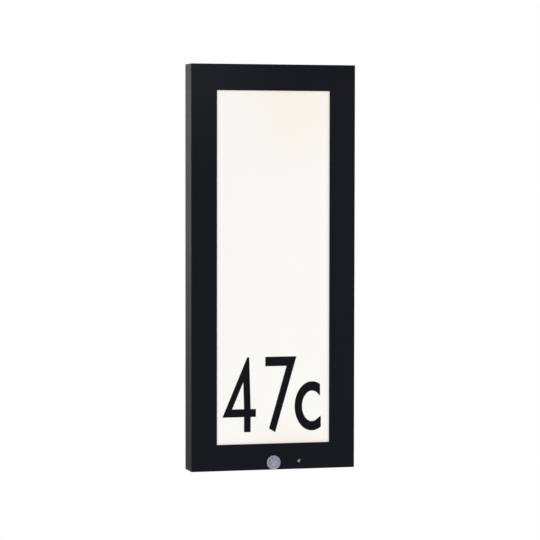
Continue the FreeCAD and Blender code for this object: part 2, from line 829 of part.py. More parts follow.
def make_letter():
    """The small letter c: two ovals, one in the other, open to the right with upright ends."""
    centre = Vector(letter_left + letter_half_width, 0, letter_half_height)
    outer = (letter_half_width, letter_half_height)
    counter = (letter_counter_half_width, letter_counter_half_height)
    bend_x = letter_upper_reach - letter_spur
    bend_height = oval_height(*counter, bend_x)
    upper_out = centre + Vector(letter_upper_reach, 0, oval_height(*outer, letter_upper_reach))
    lower_out = centre + Vector(letter_lower_reach, 0, -oval_height(*outer, letter_lower_reach))
    upper_bend = centre + Vector(bend_x, 0, bend_height)
    lower_bend = centre + Vector(bend_x, 0, -bend_height)
    upper_in = centre + Vector(letter_upper_reach, 0, bend_height - letter_spur)
    lower_in = centre + Vector(letter_lower_reach, 0, letter_spur - bend_height)
    return film([
        oval_left(centre, *outer, upper_out, lower_out),
        Part.makeLine(lower_out, lower_in),
        Part.makeLine(lower_in, lower_bend),
        oval_left(centre, *counter, upper_bend, lower_bend),
        Part.makeLine(upper_bend, upper_in),
        Part.makeLine(upper_in, upper_out),
    ])


# ---- wiring chamber ----
def make_chamber_lid():
    """The plastic lid over the wiring chamber, which carries the cable's rubber bush."""
    lid = plate(chamber_width + 2 * lid_border, chamber_height + 2 * lid_border, y_lid, y_lid_back,
                lid_corner_round, 0, chamber_z)
    holes = [screw_pass(x, z, y_lid, y_lid_back) for x, z in lid_screw_places()]
    holes.append(rod(grommet_x, chamber_z, grommet_neck_radius + screw_gap, y_lid - past, y_lid_back + past))
    return lid.cut(holes)


def make_chamber_seal():
    """The flat seal under the lid."""
    seal = plate(chamber_width + 2 * lid_border, chamber_height + 2 * lid_border, y_cover_back, y_lid,
                 lid_corner_round, 0, chamber_z)
    holes = [screw_pass(x, z, y_cover_back, y_lid) for x, z in lid_screw_places()]
    holes.append(plate(chamber_width, chamber_height, y_cover_back - past, y_lid + past,
                       chamber_corner_round, 0, chamber_z))
    return seal.cut(holes)


def make_grommet():
    """The rubber bush for the mains cable: a groove for the lid and a tapering nose in the chamber."""
    front = y_lid - grommet_flange_thickness
    back = y_lid_back + grommet_flange_thickness
    tip = front - grommet_nose_length
    return turned(grommet_x, chamber_z, [
        (grommet_bore_radius, tip), (grommet_nose_radius, tip), (grommet_neck_radius, front),
        (grommet_flange_radius, front), (grommet_flange_radius, y_lid), (grommet_neck_radius, y_lid),
        (grommet_neck_radius, y_lid_back), (grommet_flange_radius, y_lid_back),
        (grommet_flange_radius, back - grommet_bevel), (grommet_flange_radius - grommet_bevel, back),
        (grommet_bore_radius, back),
    ])


def make_terminal_block():
    """A three-pole screw terminal block: stepped sides, lead entries both ways and screw wells."""
    z0 = pole_places()[-1] - terminal_pitch / 2
    z1 = pole_places()[0] + terminal_pitch / 2
    x0, x1 = terminal_x - terminal_length / 2, terminal_x + terminal_length / 2
    body = joined([block(x0, x1, y_tray_back, y_terminal_step, z0, z1),
                   block(x0 + terminal_step_width, x1 - terminal_step_width, y_tray_back, y_terminal_back,
                         z0, z1)])
    holes = []
    for side in (-1, 1):
        mouth = terminal_x + side * terminal_length / 2
        for z in pole_places():
            holes.append(Part.makeCylinder(terminal_entry_radius, terminal_entry_depth,
                                           Vector(mouth, y_terminal_leads, z), Vector(-side, 0, 0)))
            holes.append(rod(terminal_x + side * terminal_screw_x, z, terminal_screw_radius + screw_gap,
                             y_terminal_back - terminal_screw_sink - terminal_screw_length,
                             y_terminal_back + past))
        for z in between_poles():
            holes.append(block(mouth - terminal_slit, mouth + terminal_slit, y_tray_back - past,
                               y_terminal_back + past, z - terminal_slit / 2, z + terminal_slit / 2))
    for z in between_poles():
        holes.append(screw_pass(terminal_x, z, y_tray_back, y_terminal_back, fixing_screw_radius))
        holes.append(rod(terminal_x, z, fixing_well_radius, y_terminal_back - fixing_well_depth,
                         y_terminal_back + past))
    return body.cut(holes)


def make_terminal_screws():
    """The slotted clamping screws in the terminal block's wells."""
    top = y_terminal_back - terminal_screw_sink
    screws = []
    for z in pole_places():
        for x in (terminal_x - terminal_screw_x, terminal_x + terminal_screw_x):
            screw = rod(x, z, terminal_screw_radius, top - terminal_screw_length, top)
            screws.append(screw.cut(block(x - 2, x + 2, top - terminal_slot_width, top + past,
                                          z - terminal_slot_width / 2, z + terminal_slot_width / 2)))
    return screws


def make_fixing_screws():
    """The two thin screws that hold the terminal block to the tray."""
    seat = y_terminal_back - fixing_well_depth
    return [pan_screw(terminal_x, z, seat, fixing_screw_radius, seat - y_tray, fixing_head_radius,
                      fixing_head_height) for z in between_poles()]


def make_earth_lug():
    """The ring terminal that bonds the tray to earth, with its crimped barrel pointing up."""
    back = y_tray_back + earth_ring_thickness
    half_neck = earth_ring_radius / 2
    ring = rod(earth_x, earth_z, earth_ring_radius, y_tray_back, back)
    neck = block(earth_x - half_neck, earth_x + half_neck, y_tray_back, back, earth_z,
                 earth_barrel_foot + past)
    barrel = post(earth_x, y_earth_barrel, earth_barrel_foot, lead_radius + earth_barrel_wall,
                  earth_barrel_length)
    lug = joined([ring, neck, barrel])
    return lug.cut([post(earth_x, y_earth_barrel, earth_barrel_foot + past, lead_radius + screw_gap,
                         earth_barrel_length), screw_pass(earth_x, earth_z, y_tray_back, back)])


def make_earth_screw():
    """The earth screw, whose tip ends level with the tray's front face."""
    seat = y_tray_back + earth_ring_thickness
    return small_screw(earth_x, earth_z, seat, seat - y_tray)


# ---- driver ----
def driver_hole(name):
    """Where a lead passes the driver's end wall: the middle of the wall."""
    from_middle, end = {"live": (-6.0, -1), "neutral": (-2.2, -1), "sensor": (1.4, -1),
                        "left": (-6.0, 1), "right": (-1.6, 1)}[name]
    return Vector(driver_x + from_middle, y_lead_holes, driver_z + end * (driver_length - driver_wall) / 2)


def make_driver_case():
    """The driver's open plastic trough, with a screw ear at each end and two rails for its board."""
    case = [plate(driver_width, driver_length, y_skin, y_driver_lid, driver_round, driver_x, driver_z)]
    for x, z in driver_ear_places():
        case.append(rod(x, z, driver_ear_radius, y_driver_ear, y_driver_ear_back))
        case.append(block(x - driver_ear_radius, x + driver_ear_radius, y_driver_ear, y_driver_ear_back,
                          min(z, driver_z), max(z, driver_z)))
    inside_width = driver_width - 2 * driver_wall
    inside_length = driver_length - 2 * driver_wall
    hollow = plate(inside_width, inside_length, y_skin + driver_wall, y_driver_lid + past, 0, driver_x,
                   driver_z)
    holes = [screw_pass(x, z, y_driver_ear, y_driver_ear_back) for x, z in driver_ear_places()]
    for name in ("live", "neutral", "sensor", "left", "right"):
        middle = driver_hole(name)
        radius = lead_gap + (sensor_lead_radius if name == "sensor" else lead_radius)
        holes.append(post(middle.x, middle.y, middle.z - driver_wall, radius, 2 * driver_wall))
    case = joined(case).cut([hollow] + holes)
    rail_x = (inside_width - driver_rail_width + driver_wall / 2) / 2
    rails = [plate(driver_rail_width + driver_wall / 2, inside_length, y_skin + driver_wall / 2,
                   y_driver_board, 0, driver_x + side * rail_x, driver_z) for side in (-1, 1)]
    return joined([case] + rails)


def make_driver_lid():
    """The driver's lid, with a lip that locates it in the trough."""
    lip_width = driver_width - 2 * (driver_wall + slide_gap)
    lip_length = driver_length - 2 * (driver_wall + slide_gap)
    lip = plate(lip_width, lip_length, y_driver_lid - driver_lip_height, y_driver_lid, 0, driver_x, driver_z)
    lip = lip.cut(plate(lip_width - 2 * driver_lip_thickness, lip_length - 2 * driver_lip_thickness,
                        y_driver_lid - driver_lip_height - past, y_driver_back, 0, driver_x, driver_z))
    return joined([plate(driver_width, driver_length, y_driver_lid, y_driver_back, driver_round, driver_x,
                         driver_z), lip])


def make_driver_board():
    """The driver's circuit board on the trough's rails."""
    return plate(driver_width - 2 * (driver_wall + fit_gap), driver_length - 2 * (driver_wall + fit_gap),
                 y_driver_board, y_driver_parts, 0, driver_x, driver_z)


def make_driver_coil():
    """The driver's transformer: a core, and a winding that stands proud at both ends."""
    back = y_driver_parts + coil_height
    core = plate(coil_width, coil_length, y_driver_parts, back, 0, driver_x, driver_z)
    winding = plate(coil_width - 2 * winding_inset, coil_length + 2 * winding_inset,
                    y_driver_parts + winding_inset, back - winding_inset, winding_round, driver_x, driver_z)
    return joined([core, winding])


def make_driver_capacitor():
    """The driver's electrolytic capacitor, lying along the board."""
    foot = driver_head - driver_wall - capacitor_end_gap - capacitor_length
    can = post(driver_x, y_driver_parts + capacitor_radius, foot, capacitor_radius, capacitor_length)
    return can.makeChamfer(can_bevel, [edge for edge in can.Edges if len(edge.Vertexes) == 1])


# ---- motion detector and dusk sensor ----
def lens_groove(ball, middle, sweep_from, sweep_to, turn):
    """One V-shaped line down the dome, from one sweep off its axis to another."""
    angle = math.radians(sweep_from)
    out = Vector(math.sin(angle), -math.cos(angle), 0)
    across = Vector(0, 0, facet_groove_width)
    top = middle + out * (ball + facet_groove_depth)
    corners = [middle + out * (ball - facet_groove_depth), top + across, top - across]
    section = Part.Face(Part.makePolygon(corners + corners[:1]))
    groove = section.revolve(middle, Vector(0, 0, 1), sweep_to - sweep_from)
    groove.rotate(middle, Vector(0, 1, 0), turn)
    return groove


def lens_ring(ball, middle, sweep):
    """One V-shaped ring round the dome."""
    angle = math.radians(sweep)
    low, high = ball - facet_groove_depth, ball + facet_groove_depth
    slope, fall = math.cos(angle), math.sin(angle)
    places = [(low, 0), (high, facet_groove_width), (high, -facet_groove_width)]
    return turned(0, sensor_z, [(out * fall + along * slope, middle.y - out * slope + along * fall)
                                for out, along in places])


def lens_grooves():
    """The lines between the lens's petals and between its facets, and the two rings that bound them."""
    ball = (dome_radius ** 2 + dome_height ** 2) / (2 * dome_height)
    middle = Vector(0, y_lens_tip + ball, sensor_z)
    past_axis = -math.degrees(facet_groove_width / ball)
    grooves = [lens_groove(ball, middle, past_axis, petal_sweep, 360 / petal_count * i)
               for i in range(petal_count)]
    grooves += [lens_groove(ball, middle, petal_sweep, facet_sweep, facet_turn + 360 / facet_count * i)
                for i in range(facet_count)]
    return grooves + [lens_ring(ball, middle, petal_sweep), lens_ring(ball, middle, facet_sweep)]


def make_lens():
    """The motion detector's faceted dome, with a flange on the bezel, a neck through it and snap hooks."""
    bore = lens_neck_radius - lens_wall
    lens = turned(0, sensor_z, [
        (0, y_lens_tip), cap_middle(dome_radius, y_lens_rim, y_lens_tip), (dome_radius, y_lens_rim),
        (lens_flange_radius - lens_flange_round, y_lens_rim),
        (lens_flange_radius, y_lens_rim + lens_flange_round), (lens_flange_radius, y_lens_seat),
        (lens_neck_radius, y_lens_seat), (lens_neck_radius, y_lens_end), (bore, y_lens_end),
        (bore, y_lens_rim),
        cap_middle(bore, y_lens_rim, y_lens_tip + lens_wall), (0, y_lens_tip + lens_wall),
    ])
    hook = [(lens_neck_radius - lens_wall / 2, y_skin + screw_gap),
            (lens_neck_radius + lens_hook_reach, y_skin + screw_gap),
            (lens_neck_radius, y_lens_end), (lens_neck_radius - lens_wall / 2, y_lens_end)]
    step = 360 / lens_hook_count
    hooks = [turned(0, sensor_z, hook, lens_hook_sweep, 90 - lens_hook_sweep / 2 + step * i)
             for i in range(lens_hook_count)]
    return joined([lens] + hooks).cut(lens_grooves())


def below_board():
    """Everything under the board's lower edge, where the frame's bottom wall runs."""
    return block(-board_left - past, board_right + past, y_skin - past, y_cover, -sign_height / 2,
                 board_bottom)


def make_lens_seal():
    """The rubber ring between the bezel and the lens flange."""
    return turned(0, sensor_z, [
        (lens_neck_radius + slide_gap, y_lens_seat), (lens_flange_radius - lens_seal_thickness, y_lens_seat),
        (lens_flange_radius - lens_seal_thickness, y_front), (lens_neck_radius + slide_gap, y_front),
    ])


def make_carrier():
    """The black moulding that shades the detector, presses on the dusk window and carries the board."""
    cup_bore = lens_neck_radius + lens_hook_reach + slide_gap
    solids = [block(-board_left, board_right, y_carrier, y_board, board_bottom, sensor_z + board_top),
              rod(0, sensor_z, cup_bore + carrier_cup_wall, y_skin, y_board),
              rod(dusk_x, dusk_z, dusk_flange_radius + carrier_cup_wall, y_skin, y_board)]
    holes = [
        rod(0, sensor_z, cup_bore, y_skin - past, y_carrier),
        rod(0, sensor_z, can_base_radius + fit_gap, y_skin, y_board + past),
        rod(dusk_x, dusk_z, dusk_flange_radius + slide_gap, y_skin - past, y_dusk_flange),
        rod(dusk_x, dusk_z, dusk_chip_radius + fit_gap, y_skin, y_board + past),
        below_board(),
    ]
    holes += [screw_pass(x, z, y_carrier, y_board, sensor_screw_radius) for x, z in sensor_screw_places()]
    return joined(solids).cut(holes)


def make_sensor_board():
    """The detector's circuit board."""
    board = block(-board_left, board_right, y_board, y_board_back, board_bottom, sensor_z + board_top)
    return board.cut([screw_pass(x, z, y_board, y_board_back, sensor_screw_radius)
                      for x, z in sensor_screw_places()])


def make_sensor_screws():
    """The two screws through the board and the carrier into the frame."""
    return [pan_screw(x, z, y_board_back, sensor_screw_radius, sensor_screw_length, sensor_head_radius,
                      sensor_head_height) for x, z in sensor_screw_places()]


def make_heat_detector():
    """The heat detector's metal can on the board, with a square opening for its filter."""
    face = y_board - can_height
    can = turned(0, sensor_z, [
        (0, face), (can_radius - can_bevel, face), (can_radius, face + can_bevel),
        (can_radius, y_board - can_base_thickness), (can_base_radius, y_board - can_base_thickness),
        (can_base_radius, y_board), (0, y_board),
    ])
    return can.cut(plate(filter_size, filter_size, face - past, face + filter_thickness, 0, 0, sensor_z))


def make_detector_filter():
    """The dark square filter let into the can's front."""
    face = y_board - can_height
    size = filter_size - 2 * screw_gap
    return plate(size, size, face, face + filter_thickness, 0, 0, sensor_z)


def make_dusk_window():
    """The small clear dome in front of the dusk sensor, sunk just below the bezel's face."""
    tip = y_front + dusk_dome_sink
    rim = tip + dusk_dome_height
    return turned(dusk_x, dusk_z, [
        (0, tip), cap_middle(dusk_dome_radius, rim, tip), (dusk_dome_radius, rim), (dusk_dome_radius, y_skin),
        (dusk_flange_radius, y_skin), (dusk_flange_radius, y_dusk_flange), (0, y_dusk_flange),
    ])


def make_dusk_chip():
    """The light-sensitive part behind the dusk window, with a domed front."""
    tip = y_dusk_flange + dusk_chip_gap
    rim = tip + dusk_chip_radius / 2
    return turned(dusk_x, dusk_z, [
        (0, tip), cap_middle(dusk_chip_radius, rim, tip), (dusk_chip_radius, rim),
        (dusk_chip_radius, y_board), (0, y_board),
    ])


def make_trimmer(x, z):
    """The body of a rotary trimmer on the back of the board, with a round socket for its dial."""
    body = plate(trimmer_size, trimmer_size, y_board_back, y_trimmer_back, trimmer_round, x, z)
    return body.cut(rod(x, z, dial_shaft_radius + turning_gap, y_trimmer_back - dial_socket_depth,
                        y_trimmer_back + past))


def make_dial(x, z):
    """A setting dial: a shaft from the trimmer through the back cover, with a slotted head and a notch."""
    foot = y_trimmer_back - dial_socket_depth + turning_gap
    seat = y_cover_back + dial_seal_thickness + turning_gap
    top = seat + dial_head_height
    dial = turned(x, z, [
        (0, foot), (dial_shaft_radius, foot), (dial_shaft_radius, seat), (dial_head_radius, seat),
        (dial_head_radius, top - dial_head_bevel), (dial_head_radius - dial_head_bevel, top), (0, top),
    ])
    reach = 0.75 * dial_head_radius
    driver_slot = block(x - reach, x + reach, top - dial_slot_depth, top + past, z - dial_slot_width / 2,
                        z + dial_slot_width / 2)
    pointer = block(x + reach, x + dial_head_radius + past, top - dial_pointer_depth, top + past,
                    z - dial_slot_width / 2, z + dial_slot_width / 2)
    return dial.cut([driver_slot, pointer])


def make_dial_seals():
    """A rubber ring under each dial's head."""
    bore = dial_shaft_radius + turning_gap
    back = y_cover_back + dial_seal_thickness
    return [turned(x, z, [(bore, y_cover_back), (dial_seal_radius, y_cover_back), (dial_seal_radius, back),
                          (bore, back)]) for x, z in dial_places()]


def make_sensor_plug():
    """The lead's plug on the back of the detector's board."""
    return plate(plug_width, plug_height, y_board_back, y_board_back + plug_depth, 0, plug_x,
                 sensor_z + plug_rise)


# ---- leads inside the housing ----
def live_route():
    start = Vector(terminal_x + terminal_length / 2 - lead_entry, y_terminal_leads, pole_places()[0])
    end = driver_hole("live")
    return [start, moved(start, 18, 0, 0), moved(start, 44, 0.3, 11), moved(end, -7, 0.4, -42.6),
            moved(end, 0, 0, -18.6), end]


def neutral_route():
    start = Vector(terminal_x + terminal_length / 2 - lead_entry, y_terminal_leads, pole_places()[1])
    end = driver_hole("neutral")
    return [start, moved(start, 20, 0, 0), moved(start, 48, 0.3, 12), moved(end, -7, 0.6, -46.6),
            moved(end, 0, 0, -20.6), end]


def earth_route():
    start = Vector(terminal_x + terminal_length / 2 - lead_entry, y_terminal_leads, pole_places()[2])
    end = Vector(earth_x, y_earth_barrel, earth_barrel_end - earth_barrel_length / 2)
    return [start, moved(start, 14, 0, 0), moved(start, 28.5, -1, -8), moved(end, 0, 0, 10.5), end]


def right_light_route():
    start, end = driver_hole("right"), notch_place(1)
    return [start, moved(start, 0, 0.2, 14.6), moved(start, -0.5, 2.0, 40.6), moved(end, 11.3, 7, -44.3),
            moved(end, 3.8, 8.5, -19.3), moved(end, 0, 9.5, -7.3), moved(end, 0, 5.5, 0), end]


def left_light_route():
    start, end = driver_hole("left"), notch_place(-1)
    low = y_tray_back + lead_radius + slide_gap
    return [start, moved(start, 0, 0.2, 15), moved(start, -5.2, 1.9, 38.6), moved(start, -23, 2.4, 58.6),
            Vector(44, low + 1, end.z - 42.3), Vector(14, low, end.z - 35.3), Vector(-18, low, end.z - 31.3),
            Vector(-48, low + 1.2, end.z - 25.3), moved(end, 12.2, 7.5, -17.3), moved(end, 0, 9.5, -7.3),
            moved(end, 0, 5.5, 0), end]


def sensor_route():
    start = Vector(plug_x + plug_width / 2, y_board_back + plug_depth - sensor_lead_radius - fit_gap,
                   sensor_z + plug_rise)
    end = driver_hole("sensor")
    low = y_skin + sensor_lead_radius + slide_gap
    return [start, moved(start, 17, 0, 0), moved(start, 41, -1.7, 1.4), moved(start, 60, -5.7, 9.4),
            Vector(driver_x - 1.1, low, sensor_z + 34), Vector(driver_x, low, sensor_z + 70),
            Vector(driver_x + 0.7, low, sensor_z + 108), Vector(driver_x + 0.9, low + 0.1, sensor_z + 146),
            Vector(driver_x + 0.8, low + 1.7, sensor_z + 182), moved(end, -0.3, -4.8, -64.6),
            moved(end, -0.1, -1.2, -38.6), moved(end, 0, 0, -18.6), end]


def make_clip(before, after, radius, seat):
    """A saddle clip over the middle of a lead's run, with one foot, stuck to the surface under it."""
    middle = (before + after) / 2
    bore = radius + lead_gap
    outer = bore + clip_wall
    corners = [(middle.y, outer), (seat + clip_wall, outer), (seat + clip_wall, outer + clip_foot),
               (seat, outer + clip_foot), (seat, bore), (middle.y, bore)]
    points = [Vector(-clip_length / 2, y, z) for y, z in corners]
    mirrored = [Vector(-clip_length / 2, y, z) for y, z in
                [(middle.y, -bore), (seat, -bore), (seat, -outer), (middle.y, -outer)]]
    inner_top = Vector(-clip_length / 2, middle.y + bore, 0)
    outer_top = Vector(-clip_length / 2, middle.y + outer, 0)
    edges = [Part.makeLine(a, b) for a, b in zip(points, points[1:])]
    edges.append(Part.Arc(points[-1], inner_top, mirrored[0]).toShape())
    edges += [Part.makeLine(a, b) for a, b in zip(mirrored, mirrored[1:])]
    edges.append(Part.Arc(mirrored[-1], outer_top, points[0]).toShape())
    saddle = Part.Face(Part.Wire(edges)).extrude(Vector(clip_length, 0, 0))
    turn = math.degrees(math.atan2(after.z - before.z, after.x - before.x))
    saddle.rotate(Vector(0, 0, 0), Vector(0, 1, 0), -turn)
    return placed(saddle, middle.x, 0, middle.z)


def make_lead_clips():
    """The stick-on clips that hold the long leads."""
    sensor, left = sensor_route(), left_light_route()
    return [make_clip(sensor[4], sensor[5], sensor_lead_radius, y_skin),
            make_clip(sensor[6], sensor[7], sensor_lead_radius, y_skin),
            make_clip(left[5], left[6], lead_radius, y_tray_back)]


# ---- wall bracket and hooks ----
def make_wall_bracket():
    """The steel plate on the wall: four slots, a cable opening, a hook on top and two screw tabs below."""
    middle = -bracket_sheet / 2
    neck_z = hook_shelf_z - bend_round - bracket_sheet
    lip = hook_lip_y - hook_sheet / 2
    shelf = hook_shelf_z + bracket_sheet / 2
    tab = lock_tab_z + bracket_sheet / 2
    height = neck_z - lock_tab_z
    hook = folded(hook_width, [(middle, neck_z - 10), (middle, shelf), (lip, shelf), (lip, hook_top)],
                  bracket_sheet)
    back = plate(bracket_width, height, -bracket_sheet, 0, bracket_round, 0, lock_tab_z + height / 2)
    plates = [back, hook]
    for x in (-lock_x, lock_x):
        strip = folded(lock_tab_width, [(middle, tab + 10), (middle, tab), (y_lock - lock_tab_reach, tab)],
                       bracket_sheet)
        plates.append(placed(strip, x, 0, 0))
    holes = [slot(x, z, slot_length, slot_width, -bracket_sheet - past, past) for x, z in slot_places()]
    holes.append(plate(cable_opening_width, cable_opening_height, -bracket_sheet - past, past,
                       cable_opening_round, 0, chamber_z))
    for x in (-lock_x, lock_x):
        holes.append(post(x, y_lock, lock_tab_z - past, lock_screw_radius + hole_gap,
                          bracket_sheet + 2 * past))
        corner = bend_round + bracket_sheet
        holes += [block(x + side * lock_tab_width / 2 - hole_gap, x + side * lock_tab_width / 2 + hole_gap,
                        -bracket_sheet - past, past, lock_tab_z - past, lock_tab_z + corner)
                  for side in (-1, 1)]
    return joined(plates).cut(holes)


def make_hanger():
    """The folded strip on the back cover whose lip drops behind the bracket's lip."""
    foot = y_cover_back + hook_sheet / 2
    bridge = hanger_z + hook_sheet / 2
    lip = hanger_lip_y + hook_sheet / 2
    hanger = folded(hook_width - 2 * hanger_side_gap, [
        (foot, hanger_z + hanger_foot_height), (foot, bridge), (lip, bridge), (lip, bracket_top + rest_gap),
    ], hook_sheet)
    return hanger.cut([rod(x, z, rivet_radius + screw_gap, y_cover_back - past,
                           y_cover_back + hook_sheet + past) for x, z in rivet_places()])


def make_rivets():
    """Blind rivets through the hanger and the back cover, each with a bulged tail inside."""
    seat = y_cover_back + hook_sheet
    tail_radius = rivet_radius + rivet_tail_swell
    return [turned(x, z, [
        (0, y_cover - rivet_tail_length), (rivet_radius, y_cover - rivet_tail_length),
        (tail_radius, y_cover - rivet_tail_length / 2), (tail_radius, y_cover), (rivet_radius, y_cover),
        (rivet_radius, seat), (rivet_head_radius, seat), (rivet_radius, seat + rivet_head_height),
        (0, seat + rivet_head_height),
    ]) for x, z in rivet_places()]


def make_locking_screws():
    """The two countersunk screws from below, which keep the sign on its bracket."""
    foot = -sign_height / 2
    length = lock_tab_z + bracket_sheet + lock_screw_tip - foot
    screws = []
    for x in (-lock_x, lock_x):
        head = Part.makeCone(lock_head_radius, lock_screw_radius, wall_thickness, Vector(x, y_lock, foot),
                             Vector(0, 0, 1))
        screw = joined([head, post(x, y_lock, foot, lock_screw_radius, length)])
        screws.append(screw.cut(post(x, y_lock, foot - past, lock_socket_radius, lock_socket_depth + past)))
    return screws


# ---- the whole sign, node by node ----
def make_nodes():
    """Every piece of the sign by node name; a list is a group of equal pieces."""
    time_place, dusk_place = dial_places()
    return {
        "front_frame": make_front_frame(),
        "window_seal": make_window_seal(),
        "diffuser_panel": make_diffuser(),
        "number_four": make_four(),
        "number_seven": make_seven(),
        "letter_c": make_letter(),
        "light_guide": make_light_guide(),
        "reflector_film": make_reflector(),
        "panel_tray": make_panel_tray(),
        "tray_screws": [small_screw(x, z, y_tray_back) for x, z, _ in tray_ear_places()],
        "led_board_left": make_led_board(-1),
        "led_board_right": make_led_board(1),
        "led_chips_left": make_led_chips(-1),
        "led_chips_right": make_led_chips(1),
        "driver_case": make_driver_case(),
        "driver_lid": make_driver_lid(),
        "driver_board": make_driver_board(),
        "driver_coil": make_driver_coil(),
        "driver_capacitor": make_driver_capacitor(),
        "driver_screws": [small_screw(x, z, y_driver_ear_back, y_driver_ear_back - y_skin)
                          for x, z in driver_ear_places()],
        "terminal_block": make_terminal_block(),
        "terminal_screws": make_terminal_screws(),
        "terminal_fixing_screws": make_fixing_screws(),
        "earth_lug": make_earth_lug(),
        "earth_screw": make_earth_screw(),
        "live_lead": lead(live_route(), lead_radius),
        "neutral_lead": lead(neutral_route(), lead_radius),
        "earth_lead": lead(earth_route(), lead_radius),
        "right_light_lead": lead(right_light_route(), lead_radius),
        "left_light_lead": lead(left_light_route(), lead_radius),
        "sensor_lead": lead(sensor_route(), sensor_lead_radius),
        "lead_clips": make_lead_clips(),
        "back_cover": make_back_cover(),
        "cover_seal": make_cover_seal(),
        "cover_screws": [small_screw(x, z, y_cover_back) for x, z in cover_screw_places()],
        "chamber_lid": make_chamber_lid(),
        "chamber_seal": make_chamber_seal(),
        "chamber_lid_screws": [small_screw(x, z, y_lid_back, lid_screw_length)
                               for x, z in lid_screw_places()],
        "cable_grommet": make_grommet(),
        "sensor_lens": make_lens(),
        "lens_seal": make_lens_seal(),
        "sensor_carrier": make_carrier(),
        "sensor_board": make_sensor_board(),
        "sensor_screws": make_sensor_screws(),
        "heat_detector": make_heat_detector(),
        "detector_filter": make_detector_filter(),
        "dusk_window": make_dusk_window(),
        "dusk_chip": make_dusk_chip(),
        "time_trimmer": make_trimmer(*time_place),
        "dusk_trimmer": make_trimmer(*dusk_place),
        "time_dial": make_dial(*time_place),
        "dusk_dial": make_dial(*dusk_place),
        "dial_seals": make_dial_seals(),
        "sensor_plug": make_sensor_plug(),
        "wall_bracket": make_wall_bracket(),
        "hanger": make_hanger(),
        "hanger_rivets": make_rivets(),
        "locking_screws": make_locking_screws(),
    }


def main():
    os.makedirs("parts", exist_ok=True)
    for name, made in make_nodes().items():
        pieces = made if isinstance(made, list) else [made]
        solids = [solid for piece in pieces for solid in piece.Solids]
        Part.makeCompound(solids).exportStep(os.path.join("parts", name + ".step"))
        sound = len(solids) == len(pieces) and all(solid.isValid() for solid in solids)
        volume = sum(solid.Volume for solid in solids)
        print(f"{name:24s} solids {len(solids):2d}  volume {volume:10.1f}  sound {sound}")


main()
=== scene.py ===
import json
import math

import bpy
from mathutils import Matrix, Vector


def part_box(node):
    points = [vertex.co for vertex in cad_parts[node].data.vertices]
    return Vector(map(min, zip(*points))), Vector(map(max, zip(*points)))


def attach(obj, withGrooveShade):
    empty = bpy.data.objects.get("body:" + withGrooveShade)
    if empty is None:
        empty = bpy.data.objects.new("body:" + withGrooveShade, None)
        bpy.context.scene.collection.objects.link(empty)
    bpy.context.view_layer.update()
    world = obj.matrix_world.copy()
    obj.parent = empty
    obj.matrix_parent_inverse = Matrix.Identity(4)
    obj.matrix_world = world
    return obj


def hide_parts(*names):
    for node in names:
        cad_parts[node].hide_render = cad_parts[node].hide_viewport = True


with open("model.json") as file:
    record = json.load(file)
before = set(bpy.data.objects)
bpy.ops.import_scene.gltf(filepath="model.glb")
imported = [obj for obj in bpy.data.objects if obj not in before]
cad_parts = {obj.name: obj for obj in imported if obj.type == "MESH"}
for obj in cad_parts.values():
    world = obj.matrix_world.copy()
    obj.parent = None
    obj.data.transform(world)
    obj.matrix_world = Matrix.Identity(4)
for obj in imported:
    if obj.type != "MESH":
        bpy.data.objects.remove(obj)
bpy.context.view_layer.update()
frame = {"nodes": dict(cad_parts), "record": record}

nodes = frame["nodes"]
slotOf = {part["node"]: part["material_slot"] for part in frame["record"]["subparts"]}
print("frame loaded,", len(nodes), "pieces")


# small helpers for node trees

def setInputs(tree, node, inputs):
    # wires a socket in, and sets anything else as the input's own value
    for name, value in inputs.items():
        if isinstance(value, bpy.types.NodeSocket):
            tree.links.new(value, node.inputs[name])
        else:
            node.inputs[name].default_value = value


def addNode(tree, kind, inputs=None, **settings):
    node = tree.nodes.new("ShaderNode" + kind)
    for name, value in settings.items():
        setattr(node, name, value)
    setInputs(tree, node, inputs or {})
    return node


def maths(tree, operation, first, second=0.0):
    return addNode(tree, "Math", {0: first, 1: second}, operation=operation).outputs[0]


def vectorMaths(tree, operation, first, second=(0, 0, 0)):
    node = addNode(tree, "VectorMath", {0: first, 1: second}, operation=operation)
    return node.outputs["Value" if operation in ("LENGTH", "DISTANCE") else "Vector"]


def remap(tree, value, low, high, toLow=0.0, toHigh=1.0, curve="LINEAR"):
    inputs = {"Value": value, "From Min": low, "From Max": high, "To Min": toLow, "To Max": toHigh}
    return addNode(tree, "MapRange", inputs, interpolation_type=curve).outputs["Result"]


def mixColours(tree, mask, first, second):
    # the node keeps its two colours at inputs 6 and 7, and their mix at output 2
    return addNode(tree, "Mix", {0: mask, 6: first, 7: second}, data_type="RGBA").outputs[2]


def noise(tree, where, scale, detail):
    return addNode(tree, "TexNoise", {"Vector": where, "Scale": scale, "Detail": detail}).outputs["Fac"]


def place(tree):
    return addNode(tree, "TexCoord").outputs["Object"]


def surfaceNormal(tree):
    return addNode(tree, "NewGeometry").outputs["Normal"]


def axesOf(tree, vector):
    return addNode(tree, "SeparateXYZ", {"Vector": vector}).outputs


def newGroup(name, inputs, outputs):
    group = bpy.data.node_groups.new(name, "ShaderNodeTree")
    for socketName, kind, value in inputs:
        socket = group.interface.new_socket(name=socketName, in_out="INPUT", socket_type="NodeSocket" + kind)
        socket.default_value = value
    for socketName, kind in outputs:
        group.interface.new_socket(name=socketName, in_out="OUTPUT", socket_type="NodeSocket" + kind)
    return group, group.nodes.new("NodeGroupInput").outputs, group.nodes.new("NodeGroupOutput")


def placeGroup(tree, group, inputs):
    return addNode(tree, "Group", inputs, node_tree=group).outputs


def newMaterial(name, inputs):
    material = bpy.data.materials.new(name)
    material.use_nodes = True
    tree = material.node_tree
    shader = tree.nodes["Principled BSDF"]
    setInputs(tree, shader, inputs)
    return material, tree, shader


